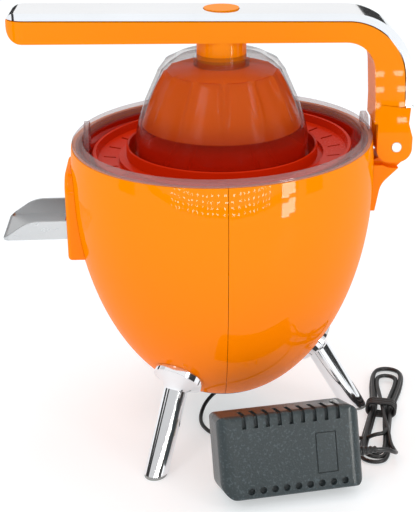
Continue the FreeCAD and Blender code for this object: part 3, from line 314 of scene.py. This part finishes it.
def make_finishes(colours):
    """All finishes, by the record's material slot."""
    orange = tuple(colours.orange)
    inner = tuple(colours.inner_orange)
    return {
        "orange_gloss": orange_finish("orange_gloss", orange),
        "orange_cap": orange_finish("orange_cap", shade(orange, 0.97)),
        "reamer_orange": moulded_finish("reamer_orange", inner, 0.22, coat=0.1, specular=0.1),
        "cup_orange": moulded_finish(
            "cup_orange", (1.0, 0.135, 0.002), 0.2, coat=0.12, specular=0.06
        ),
        "inner_orange": moulded_finish("inner_orange", inner, 0.26, coat=0.05, specular=0.03),
        "chrome": metal_finish("chrome", (0.86, 0.87, 0.89), 0.05, 300.0, (1.0, 1.0, 0.3)),
        # Painted shade: the dark red below the rim stands in for the shaded orange bowl seen through
        # the clear plastic.
        "clear_plastic": see_through_finish(
            "clear_plastic", (0.62, 0.012, 0.001), (0.42, 0.3, 0.3), (0.1866, 0.1888),
            0.32, 0.9, 0.72, 0.05, RIM_SLOPE,
        ),
        # Painted shade: the dark red low on the cover stands in for the shaded red inside seen
        # through the smoked plastic.
        "smoked_plastic": see_through_finish(
            "smoked_plastic", (0.62, 0.014, 0.002), tuple(colours.smoke), (0.186, 0.216),
            0.16, 0.8, 0.56, 0.04,
        ),
        "satin_steel": metal_finish(
            "satin_steel", (0.6, 0.61, 0.62), 0.3, 500.0, (0.15, 1.0, 1.0)
        ),
        "rubber_foot": moulded_finish("rubber_foot", (0.32, 0.32, 0.31), 0.75, grain=500.0),
        "dark_plastic": textured_finish("dark_plastic", (0.02, 0.02, 0.021), 0.45, 900.0, 0.00006),
        "structural_plastic": moulded_finish("structural_plastic", (0.72, 0.7, 0.64), 0.5),
        "gear_nylon": moulded_finish("gear_nylon", (0.8, 0.77, 0.67), 0.42, grain=1400.0),
        "bearing_bronze": metal_finish(
            "bearing_bronze", (0.55, 0.36, 0.17), 0.4, 1200.0, (1, 1, 1)
        ),
        "motor_steel": metal_finish(
            "motor_steel", (0.56, 0.57, 0.58), 0.26, 700.0, (1.0, 1.0, 0.1)
        ),
        "adapter_case": textured_finish(
            "adapter_case", tuple(colours.adapter), 0.3, 900.0, 0.00012
        ),
        "adapter_metal": metal_finish("adapter_metal", (0.7, 0.67, 0.6), 0.2, 600.0, (1, 0.2, 1)),
        "cord_jacket": moulded_finish("cord_jacket", (0.012, 0.012, 0.013), 0.34, grain=1600.0),
    }


# --- Shapes --------------------------------------------------------------------------------------


def mesh_object(name, points, faces, finish, sharp_deg=35.0):
    mesh = bpy.data.meshes.new(name)
    mesh.from_pydata([tuple(point) for point in points], [], faces)
    shape = bmesh.new()
    shape.from_mesh(mesh)
    bmesh.ops.remove_doubles(shape, verts=shape.verts, dist=1e-6)
    bmesh.ops.recalc_face_normals(shape, faces=shape.faces)
    shape.to_mesh(mesh)
    shape.free()
    mesh.shade_smooth()
    mesh.set_sharp_from_angle(angle=math.radians(sharp_deg))
    mesh.materials.append(finish)
    thing = bpy.data.objects.new(name, mesh)
    bpy.context.scene.collection.objects.link(thing)
    return thing


def new_geometry_tree(name, sockets):
    """Geometry tree with named inputs; returns it, its graph and its group input."""
    tree = bpy.data.node_groups.new(name, "GeometryNodeTree")
    tree.interface.new_socket("Geometry", in_out="OUTPUT", socket_type="NodeSocketGeometry")
    for label, kind in sockets:
        tree.interface.new_socket(label, in_out="INPUT", socket_type="NodeSocket" + kind)
    graph = Graph(tree)
    return tree, graph, graph.node("NodeGroupInput")


def end_tree(graph, geometry, material):
    realized = graph.node("GeometryNodeRealizeInstances", None, {"Geometry": geometry})
    painted = graph.node(
        "GeometryNodeSetMaterial",
        None,
        {"Geometry": realized.outputs["Geometry"], "Material": material},
    )
    graph.node("NodeGroupOutput", None, {0: painted.outputs["Geometry"]})


def grown(name, tree, values, finish):
    """Object with the plain mesh that a geometry tree makes from these input values."""
    mesh = bpy.data.meshes.new(name)
    thing = bpy.data.objects.new(name, mesh)
    bpy.context.scene.collection.objects.link(thing)
    modifier = thing.modifiers.new(name, "NODES")
    modifier.node_group = tree
    values = dict(values, Material=finish)
    for item in tree.interface.items_tree:
        if item.in_out == "INPUT":
            modifier[item.identifier] = values[item.name]
    graph = bpy.context.evaluated_depsgraph_get()
    made = bpy.data.meshes.new_from_object(thing.evaluated_get(graph), depsgraph=graph)
    thing.modifiers.remove(modifier)
    made.name = name
    thing.data = made
    made.shade_smooth()
    made.set_sharp_from_angle(angle=math.radians(50.0))
    return thing


def spring_tree():
    """Wire wound into an upright helix."""
    sockets = (
        ("Turns", "Float"),
        ("Radius", "Float"),
        ("Height", "Float"),
        ("Wire", "Float"),
        ("Base", "Vector"),
        ("Material", "Material"),
    )
    tree, graph, given = new_geometry_tree("wound_spring", sockets)
    helix = graph.node(
        "GeometryNodeCurveSpiral",
        None,
        {
            "Resolution": 20,
            "Rotations": given.outputs["Turns"],
            "Start Radius": given.outputs["Radius"],
            "End Radius": given.outputs["Radius"],
            "Height": given.outputs["Height"],
        },
    )
    section = graph.node(
        "GeometryNodeCurvePrimitiveCircle",
        None,
        {"Resolution": 8, "Radius": given.outputs["Wire"]},
    )
    wire = graph.node(
        "GeometryNodeCurveToMesh",
        None,
        {"Curve": helix.outputs[0], "Profile Curve": section.outputs[0], "Fill Caps": True},
    )
    placed = graph.node(
        "GeometryNodeTransform",
        None,
        {"Geometry": wire.outputs[0], "Translation": given.outputs["Base"]},
    )
    end_tree(graph, placed.outputs[0], given.outputs["Material"])
    return tree


def tie_tree():
    """Turns of cord side by side, each a rounded upright loop round the hank."""
    sockets = (
        ("Turns", "Int"),
        ("Pitch", "Vector"),
        ("Width", "Float"),
        ("Height", "Float"),
        ("Corner", "Float"),
        ("Thickness", "Float"),
        ("First", "Vector"),
        ("Turned", "Vector"),
        ("Material", "Material"),
    )
    tree, graph, given = new_geometry_tree("cord_tie_turns", sockets)
    loop = graph.node(
        "GeometryNodeCurvePrimitiveQuadrilateral",
        None,
        {"Width": given.outputs["Width"], "Height": given.outputs["Height"]},
    )
    rounded = graph.node(
        "GeometryNodeFilletCurve",
        {"mode": "POLY"},
        {
            "Curve": loop.outputs[0],
            "Radius": given.outputs["Corner"],
            "Count": 8,
            "Limit Radius": True,
        },
    )
    section = graph.node(
        "GeometryNodeCurvePrimitiveCircle",
        None,
        {"Resolution": 12, "Radius": given.outputs["Thickness"]},
    )
    ring = graph.node(
        "GeometryNodeCurveToMesh",
        None,
        {"Curve": rounded.outputs[0], "Profile Curve": section.outputs[0]},
    )
    row = graph.node(
        "GeometryNodeMeshLine",
        {"mode": "OFFSET"},
        {
            "Count": given.outputs["Turns"],
            "Start Location": given.outputs["First"],
            "Offset": given.outputs["Pitch"],
        },
    )
    placed = graph.node(
        "GeometryNodeInstanceOnPoints",
        None,
        {
            "Points": row.outputs[0],
            "Instance": ring.outputs[0],
            "Rotation": given.outputs["Turned"],
        },
    )
    end_tree(graph, placed.outputs[0], given.outputs["Material"])
    return tree


def relief_tree():
    """Tapered sleeve with rings along it, about a straight line."""
    sockets = (
        ("Start", "Vector"),
        ("End", "Vector"),
        ("Wide", "Float"),
        ("Narrow", "Float"),
        ("Rings", "Float"),
        ("Groove", "Float"),
        ("Material", "Material"),
    )
    tree, graph, given = new_geometry_tree("ringed_sleeve", sockets)
    line = graph.node(
        "GeometryNodeCurvePrimitiveLine",
        None,
        {"Start": given.outputs["Start"], "End": given.outputs["End"]},
    )
    fine = graph.node("GeometryNodeResampleCurve", None, {"Curve": line.outputs[0], "Count": 90})
    along = Value(graph, graph.node("GeometryNodeSplineParameter").outputs["Factor"])
    wide = Value(graph, given.outputs["Wide"])
    taper = wide - along * (wide - given.outputs["Narrow"])
    wave = (along * given.outputs["Rings"] * math.tau).math("SINE")
    radius = taper - (wave * 0.5 + 0.5) * given.outputs["Groove"]
    swelling = graph.node(
        "GeometryNodeSetCurveRadius", None, {"Curve": fine.outputs[0], "Radius": radius}
    )
    unit_circle = {"Resolution": 32, "Radius": 1.0}
    section = graph.node("GeometryNodeCurvePrimitiveCircle", None, unit_circle)
    inputs = {"Curve": swelling.outputs[0], "Profile Curve": section.outputs[0], "Fill Caps": True}
    sleeve = graph.node("GeometryNodeCurveToMesh", None, inputs)
    graph.feed(sleeve.inputs["Scale"], radius)
    end_tree(graph, sleeve.outputs[0], given.outputs["Material"])
    return tree


def blend_between(points, place):
    """Value at a place along (place, value) pairs, eased between them."""
    if place <= points[0][0]:
        return points[0][1]
    for (low, first), (high, second) in zip(points, points[1:]):
        if place <= high:
            share = (place - low) / (high - low)
            return first + (second - first) * share * share * (3.0 - 2.0 * share)
    return points[-1][1]


# --- Cord ----------------------------------------------------------------------------------------

CORD_Z = 1.35
LEAD_ROUTE = (
    (5.6, 8.1, 12.0),
    (-2.5, 5.7, 12.0),
    (-11.5, 1.2, 5.0),
    (-15.6, -10.5, CORD_Z),
    (-15.0, -24.0, CORD_Z),
    (-7.0, -36.0, CORD_Z),
    (8.0, -42.5, CORD_Z),
    (27.0, -44.5, CORD_Z),
    (48.0, -42.0, CORD_Z),
    (66.0, -40.5, CORD_Z),
    (81.0, -43.0, CORD_Z),
    (89.5, -46.0, CORD_Z + 1.2),
)
TAIL_ROUTE = (
    (103.86, -54.39, 3.75),
    (105.36, -63.39, 3.75),
    (103.86, -76.39, 10.61),
    (94.86, -81.39, 17.61),
    (84.12, -83.28, 17.61),
)
HANK_START = Vector((90.0, -72.0))
HANK_AXIS = Vector((30.0, 120.0)).normalized()
HANK_SIDE = Vector((HANK_AXIS.y, -HANK_AXIS.x))
WAIST = 60.0
TIE_LIFT = 2.6


def hank_point(along, across, height):
    spot = HANK_START + HANK_AXIS * along + HANK_SIDE * across
    return (spot.x, spot.y, height)


def hank_run(near_width, waist, far_width, side, height, rising, wobble):
    """One strand through the waist; side is -1 left or 1 right."""
    places = (26.0, 42.0, WAIST, 78.0, 96.0)
    widths = ((20.0, near_width), (WAIST, waist), (100.0, far_width))
    strand = []
    for place in places if rising else reversed(places):
        width = blend_between(widths, place)
        sway = wobble * math.sin(place / 13.0 + wobble * 5.0)
        lift = TIE_LIFT * math.exp(-(((place - WAIST) / 17.0) ** 2))
        strand.append(hank_point(place, side * width + sway, height * 0.9 + lift))
    return strand


def hank_fold(centre, width, far, first_height, last_height):
    """Half turn at an end of the hank: far from right to left, near from left to right."""
    reach = width / math.cos(math.pi / 8)
    corners = []
    for index in range(4):
        angle = math.pi * (index + 0.5) / 4
        across = reach * math.cos(angle) * (1 if far else -1)
        along = reach * math.sin(angle) * (1 if far else -1)
        height = first_height + (last_height - first_height) * (index + 0.5) / 4
        corners.append(hank_point(centre + along, across, height))
    return corners


# One row for each loop: waist offset, height, far end and its half width, near end and its
# half width. The near values lead on to the next loop.
HANK_LOOPS = (
    (5.0, 4.0, 118.0, 9.4, 5.0, 7.6),
    (6.5, 1.35, 122.0, 10.2, 1.0, 8.8),
    (3.6, 1.35, 112.5, 7.0, 8.5, 6.0),
    (2.3, 4.0, 107.5, 6.4, 0.0, 0.0),
)


def hank_route():
    """The hank's turns, from where the lead crosses onto it to where the tail leaves."""
    route = [
        hank_point(24.5, -1.0, 6.7),
        hank_point(27.5, 5.2, 6.5),
        hank_point(42.0, 6.6, 4.6),
    ]
    for index, (waist, height, far_end, far, near_end, near) in enumerate(HANK_LOOPS):
        before = HANK_LOOPS[index - 1][5] if index else near
        wobble = 0.5 - 0.25 * index
        rising = hank_run(before, waist, far, 1, height, True, wobble)
        route += rising[2:] if index == 0 else rising
        route += hank_fold(far_end - far, far, True, height, height)
        if index < len(HANK_LOOPS) - 1:
            following = HANK_LOOPS[index + 1][1]
            route += hank_run(near, waist, far, -1, height, False, -wobble)
            route += hank_fold(near_end + near, near, False, height, following)
    route += [
        hank_point(92.0, -5.6, 4.6),
        hank_point(76.0, -2.6, 7.0),
        hank_point(WAIST, 0.2, 8.9),
        hank_point(44.0, 3.6, 7.4),
        hank_point(31.0, 7.2, 5.4),
    ]
    return route


def make_cord(sizes, finish):
    route = [at(*point) for point in LEAD_ROUTE + tuple(hank_route()) + TAIL_ROUTE]
    line = bpy.data.curves.new("cord", "CURVE")
    line.dimensions = "3D"
    line.resolution_u = 8
    line.bevel_depth = sizes.cord_diameter / 2
    line.bevel_resolution = 3
    line.use_fill_caps = True
    spline = line.splines.new("NURBS")
    spline.points.add(len(route) - 1)
    for point, place in zip(spline.points, route):
        point.co = (place.x, place.y, place.z, 1.0)
    spline.order_u = 3
    spline.use_endpoint_u = True
    line.materials.append(finish)
    cord = bpy.data.objects.new("cord", line)
    bpy.context.scene.collection.objects.link(cord)
    return cord, route[0]


# --- Properties ----------------------------------------------------------------------------------


class PressSizes(bpy.types.PropertyGroup):
    cord_diameter: FloatProperty(
        name="Cord Diameter", description="Outer diameter of the cord",
        default=0.0026, unit="LENGTH",
    )
    cord_length: FloatProperty(
        name="Cord Length", description="Real length of the whole cord",
        default=1.13, unit="LENGTH",
    )
    tie_turns: IntProperty(
        name="Tie Turns", description="Turns of cord round the hank", default=3, min=1
    )
    relief_rings: IntProperty(
        name="Relief Rings", description="Grooves along the strain relief", default=5, min=1
    )
    pleats: IntProperty(
        name="Pleats", description="Upright pleats round the press cup", default=12, min=3
    )
    pleat_depth: FloatProperty(
        name="Pleat Depth", description="How far the cup falls in between pleats",
        default=0.003, unit="LENGTH",
    )
    spring_turns: FloatProperty(
        name="Spring Turns", description="Turns of each spring", default=5.0
    )


class PressColours(bpy.types.PropertyGroup):
    orange: FloatVectorProperty(
        name="Orange", description="Body colour", default=(1.0, 0.268, 0.0),
        subtype="COLOR", min=0.0, max=1.0,
    )
    inner_orange: FloatVectorProperty(
        name="Inner Orange", description="Cup, strainer and reamer", default=(0.58, 0.022, 0.001),
        subtype="COLOR", min=0.0, max=1.0,
    )
    smoke: FloatVectorProperty(
        name="Smoke", description="Tint of the cover", default=(0.13, 0.03, 0.016),
        subtype="COLOR", min=0.0, max=1.0,
    )
    adapter: FloatVectorProperty(
        name="Adapter", description="Case of the power supply", default=(0.033, 0.045, 0.049),
        subtype="COLOR", min=0.0, max=1.0,
    )


def finish_named(name):
    full_name = FINISH_PREFIX + name
    if full_name not in bpy.data.materials:
        make_finishes(bpy.context.scene.press_colours)
    return bpy.data.materials[full_name]


# --- Operators -----------------------------------------------------------------------------------


class PRESS_OT_stage(bpy.types.Operator):
    """Camera, floor, lights and world."""

    bl_idname = "press.stage"
    bl_label = "Stage"

    def execute(self, context):
        scene = context.scene
        scene.view_settings.view_transform = "Standard"
        self.add_camera(scene)
        self.add_floor()
        self.add_light("key", (-0.75, -0.9, 1.15), (0.3, 0.4), 2.6)
        self.add_light("window", (0.95, -0.75, 0.8), (0.14, 0.3), 1.4)
        self.add_light("top", (0.1, 0.35, 1.4), (0.9, 0.5), 2.0)
        self.add_card("card_left", (-0.75, -0.25, 0.2), (0.2, 0.9))
        self.add_card("card_right", (0.75, -0.35, 0.2), (0.2, 0.9))
        self.add_card("card_low", (0.0, -0.5, 0.058), (1.3, 0.034))
        panes = [(across, up) for across in (-0.028, 0.028) for up in (-0.026, 0.026)]
        for index, (across, up) in enumerate(panes):
            place = (0.34 + across, -0.36, 0.085 + up)
            self.add_card("pane_%d" % index, place, (0.044, 0.04), 26.0)
        self.add_lamp_dots()
        self.add_horizon()
        self.add_world(scene)
        return {"FINISHED"}

    def add_camera(self, scene):
        lens = bpy.data.cameras.new("camera")
        lens.sensor_width = 36.0
        lens.lens = 84.2
        camera = bpy.data.objects.new("camera", lens)
        camera.location = at(-26.87, -700.08, 414.90)
        aim = at(-9.15, 0.0, 112.0) - camera.location
        roll = Quaternion((0.0, 0.0, 1.0), math.radians(-0.55))
        camera.rotation_mode = "QUATERNION"
        camera.rotation_quaternion = aim.to_track_quat("-Z", "Y") @ roll
        scene.collection.objects.link(camera)
        scene.camera = camera

    def add_world(self, scene):
        """White all round, a little dimmer part of the way up."""
        world = bpy.data.worlds.new("soft_room")
        world.use_nodes = True
        background = world.node_tree.nodes["Background"]
        graph = Graph(world.node_tree)
        direction = graph.node("ShaderNodeTexCoord").outputs["Generated"]
        split = graph.node("ShaderNodeSeparateXYZ", None, {0: direction})
        above = Value(graph, split.outputs["Z"])
        dip = 1.0 - above.step(0.24, 0.34) * 0.3 + above.step(0.5, 0.7) * 0.35
        sky = graph.mix(dip, (0.03, 0.03, 0.03, 1.0), (1.0, 1.0, 1.0, 1.0))
        graph.feed(background.inputs["Color"], sky)
        background.inputs["Strength"].default_value = 1.0
        scene.world = world

    def add_floor(self):
        reach = 4.0
        corners = [(-reach, -reach, 0), (reach, -reach, 0), (reach, reach, 0), (-reach, reach, 0)]
        material, graph, shader = new_finish("pale_floor")
        cloud = graph.noise(3.0, 2.0)
        tone = graph.mix(cloud, (0.56, 0.58, 0.6, 1.0), (0.6, 0.62, 0.64, 1.0))
        graph.feed(shader.inputs["Base Color"], tone)
        shader.inputs["Roughness"].default_value = 0.7
        shader.inputs["Emission Color"].default_value = (0.98, 1.0, 1.0, 1.0)
        shader.inputs["Emission Strength"].default_value = 0.45
        floor = mesh_object("floor", corners, [(0, 1, 2, 3)], material)
        floor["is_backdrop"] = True

    def add_light(self, name, place, size, watts):
        light = bpy.data.lights.new(name, "AREA")
        light.shape = "RECTANGLE"
        light.size, light.size_y = size
        light.energy = watts
        lamp = bpy.data.objects.new(name, light)
        lamp.location = place
        lamp.rotation_mode = "QUATERNION"
        aim = Vector((AXIS_X, 0.0, 0.12)) - lamp.location
        lamp.rotation_quaternion = aim.to_track_quat("-Z", "Y")
        bpy.context.scene.collection.objects.link(lamp)

    def add_lamp_dots(self):
        """Rows of small lamps that the bowl and the chrome mirror."""
        rows, columns = 4, 22
        first_across, across_gap = -0.25, 0.0238
        first_up, up_gap = -0.022, 0.015
        spots = []
        for row in range(rows):
            for column in range(columns):
                sway = 0.004 * math.sin(column * 1.7 + row)
                across = first_across + column * across_gap + sway
                spots.append((across, row * up_gap + first_up))
        self.add_card("lamp_dots", (-0.01, -0.40, 0.105), (0.0085, 0.0055), 22.0, spots)

    def add_card(self, name, place, size, glow=0.0, spots=((0.0, 0.0),)):
        """Upright cards, dark or glowing, that only show in reflections."""
        place = Vector(place)
        aim = Vector((AXIS_X, 0.0, place.z)) - place
        turn = aim.to_track_quat("-Z", "Y").to_matrix()
        half_x, half_y = size[0] / 2, size[1] / 2
        corners = []
        for across, up in spots:
            for x, y in ((-half_x, -half_y), (half_x, -half_y), (half_x, half_y), (-half_x, half_y)):
                corners.append(place + turn @ Vector((x + across, y + up, 0.0)))
        self.add_mirrored(name, corners, glow)

    def add_horizon(self):
        """Dark band all round, low down, for crisp streaks in the chrome."""
        reach, low, high, count = 3.0, 0.02, 0.62, 48
        corners = []
        for index in range(count):
            for step, height in ((0, low), (1, low), (1, high), (0, high)):
                angle = math.tau * (index + step) / count
                corners.append((reach * math.cos(angle), reach * math.sin(angle), height))
        self.add_mirrored("card_horizon", corners, 0.0)

    def add_mirrored(self, name, corners, glow):
        """Separate four-cornered faces that only show in reflections."""
        faces = [tuple(range(first, first + 4)) for first in range(0, len(corners), 4)]
        material, graph, shader = new_finish(name)
        tone = graph.mix(graph.noise(5.0), (0.01, 0.01, 0.01, 1.0), (0.02, 0.02, 0.02, 1.0))
        graph.feed(shader.inputs["Base Color"], tone)
        shader.inputs["Emission Color"].default_value = (1.0, 0.98, 0.94, 1.0)
        shader.inputs["Emission Strength"].default_value = glow
        card = mesh_object(name, corners, faces, material)
        card.visible_camera = False
        card.visible_diffuse = False
        card.visible_shadow = False
        card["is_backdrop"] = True


class PRESS_OT_cord(bpy.types.Operator):
    """The cord in one piece: lead, tied hank and tail, with its tie and strain relief."""

    bl_idname = "press.cord"
    bl_label = "Cord"

    def execute(self, context):
        sizes = context.scene.press_sizes
        finish = finish_named("cord_jacket")
        cord, start = make_cord(sizes, finish)
        tie = self.make_tie(sizes, finish)
        relief = self.make_relief(sizes, finish)
        for piece, nodes in (
            (cord, ("cord_lead", "cord_hank", "cord_tail")),
            (tie, ("hank_tie",)),
            (relief, ("strain_relief",)),
        ):
            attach(piece, "base")
            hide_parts(*nodes)
        return {"FINISHED"}

    def make_tie(self, sizes, finish):
        thick = sizes.cord_diameter / 2
        middle = Vector(hank_point(WAIST, 0.0, 5.95))
        step = sizes.cord_diameter * 0.98
        axis = Vector((HANK_AXIS.x, HANK_AXIS.y, 0.0))
        first = at(*middle) - axis * step * (sizes.tie_turns - 1) / 2
        heading = math.atan2(HANK_SIDE.y, HANK_SIDE.x)
        values = {
            "Turns": sizes.tie_turns,
            "Pitch": axis * step,
            "Width": 0.0182,
            "Height": 0.00945,
            "Corner": 0.0038,
            "Thickness": thick * 0.9,
            "First": first,
            "Turned": Vector((math.pi / 2, 0.0, heading)),
        }
        return grown("cord_tie", tie_tree(), values, finish)

    def make_relief(self, sizes, finish):
        mouth = at(*TAIL_ROUTE[-1])
        heading = (at(*TAIL_ROUTE[-2]) - mouth).normalized()
        values = {
            "Start": mouth - heading * 0.0080,
            "End": mouth + heading * 0.0058,
            "Wide": 0.0036,
            "Narrow": 0.0021,
            "Rings": float(sizes.relief_rings),
            "Groove": 0.0005,
        }
        return grown("adapter_relief", relief_tree(), values, finish)


class PRESS_OT_springs(bpy.types.Operator):
    """The spring under the spindle and the spring under the cap."""

    bl_idname = "press.springs"
    bl_label = "Springs"

    def execute(self, context):
        sizes = context.scene.press_sizes
        tree = spring_tree()
        wire = 0.0004
        for name, node, body, joint in (
            ("spindle_spring", "return_spring", "base", "spindle_press"),
            ("cap_spring", "button_spring", "arm", "button_press"),
        ):
            low, high = (Vector(corner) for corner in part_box(node))
            middle = (low + high) / 2
            values = {
                "Turns": sizes.spring_turns,
                "Radius": (high.x - low.x) / 2 - wire,
                "Height": high.z - low.z - 2 * wire,
                "Wire": wire,
                "Base": Vector((middle.x, middle.y, low.z + wire)),
            }
            spring = grown(name, tree, values, finish_named("satin_steel"))
            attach(spring, body)
            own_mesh(spring)
            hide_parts(node)
        return {"FINISHED"}


class PRESS_OT_press_cup(bpy.types.Operator):
    """Press cup with pleats that fade towards its rim."""

    bl_idname = "press.press_cup"
    bl_label = "Press Cup"

    OUTSIDE = (
        (14.4, 240.0), (14.4, 236.6), (20.0, 235.6), (28.0, 234.4), (33.6, 233.4),
        (34.7, 232.8), (35.2, 231.6), (36.6, 229.2), (38.2, 226.4), (41.0, 221.2),
        (43.2, 215.6), (45.4, 209.6), (47.2, 204.6), (48.5, 201.2),
    )
    INSIDE = (
        (46.4, 201.0), (45.0, 204.8), (43.2, 209.4), (41.0, 215.0), (38.8, 220.4),
        (36.0, 225.6), (32.8, 230.0), (26.0, 231.6), (12.4, 234.0),
    )

    def execute(self, context):
        sizes = context.scene.press_sizes
        segments = 288
        ridge_share = 0.22
        fade = (
            (201.0, 0.0), (214.0, 0.55), (228.0, 1.0),
            (232.6, 1.0), (233.6, 0.25), (236.0, 0.0),
        )
        profile = self.OUTSIDE + self.INSIDE
        points = []
        for radius, height in profile:
            depth = sizes.pleat_depth / MM * blend_between(fade, height)
            for step in range(segments):
                angle = math.tau * step / segments
                phase = (angle - 1.5 * math.pi) * sizes.pleats / math.tau
                gap = abs(phase - round(phase)) * 2.0
                hollow = 1.0 - math.exp(-((gap / ridge_share) ** 2))
                reach = radius - depth * hollow
                points.append(at(reach * math.cos(angle), reach * math.sin(angle), height))
        faces = []
        for ring in range(len(profile) - 1):
            for step in range(segments):
                after = (step + 1) % segments
                low, high = ring * segments, (ring + 1) * segments
                faces.append((low + step, low + after, high + after, high + step))
        top = len(points)
        points.append(at(0.0, 0.0, profile[0][1]))
        points.append(at(0.0, 0.0, profile[-1][1]))
        last = (len(profile) - 1) * segments
        for step in range(segments):
            after = (step + 1) % segments
            faces.append((top, after, step))
            faces.append((top + 1, last + step, last + after))
        cup = mesh_object("pleated_cup", points, faces, finish_named("cup_orange"), 40.0)
        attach(cup, "arm")
        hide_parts("press_cup")
        return {"FINISHED"}


class PRESS_OT_finishes(bpy.types.Operator):
    """Finishes on the pieces that keep their own shape."""

    bl_idname = "press.finishes"
    bl_label = "Finishes"

    def execute(self, context):
        special = {"strainer": "inner_orange"}
        for part in frame["record"]["subparts"]:
            name = part["node"]
            thing = frame["nodes"][name]
            finish = finish_named(special.get(name, part["material_slot"]))
            thing.data.materials.clear()
            thing.data.materials.append(finish)
        return {"FINISHED"}


class PRESS_PT_panel(bpy.types.Panel):
    """Lists the press's pieces in the sidebar."""

    bl_idname = "PRESS_PT_panel"
    bl_label = "Lever Citrus Press"
    bl_space_type = "VIEW_3D"
    bl_region_type = "UI"
    bl_category = "Press"

    def draw(self, context):
        for operator in OPERATORS:
            self.layout.operator(operator.bl_idname)
        for group in (context.scene.press_sizes, context.scene.press_colours):
            for name in group.__annotations__:
                self.layout.prop(group, name)


OPERATORS = (
    PRESS_OT_stage,
    PRESS_OT_cord,
    PRESS_OT_springs,
    PRESS_OT_press_cup,
    PRESS_OT_finishes,
)
CLASSES = (PressSizes, PressColours) + OPERATORS + (PRESS_PT_panel,)


def register():
    for item in CLASSES:
        bpy.utils.register_class(item)
    bpy.types.Scene.press_sizes = PointerProperty(type=PressSizes)
    bpy.types.Scene.press_colours = PointerProperty(type=PressColours)


def unregister():
    del bpy.types.Scene.press_colours
    del bpy.types.Scene.press_sizes
    for item in reversed(CLASSES):
        bpy.utils.unregister_class(item)


def main():
    register()
    bpy.ops.press.stage()
    bpy.ops.press.cord()
    bpy.ops.press.springs()
    bpy.ops.press.press_cup()
    bpy.ops.press.finishes()
    boxes = {"cad": CAD_BOX, "visual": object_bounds()}
    for name, corners in boxes.items():
        boxes[name] = [list(corner) for corner in corners]


if __name__ == "__main__":
    main()
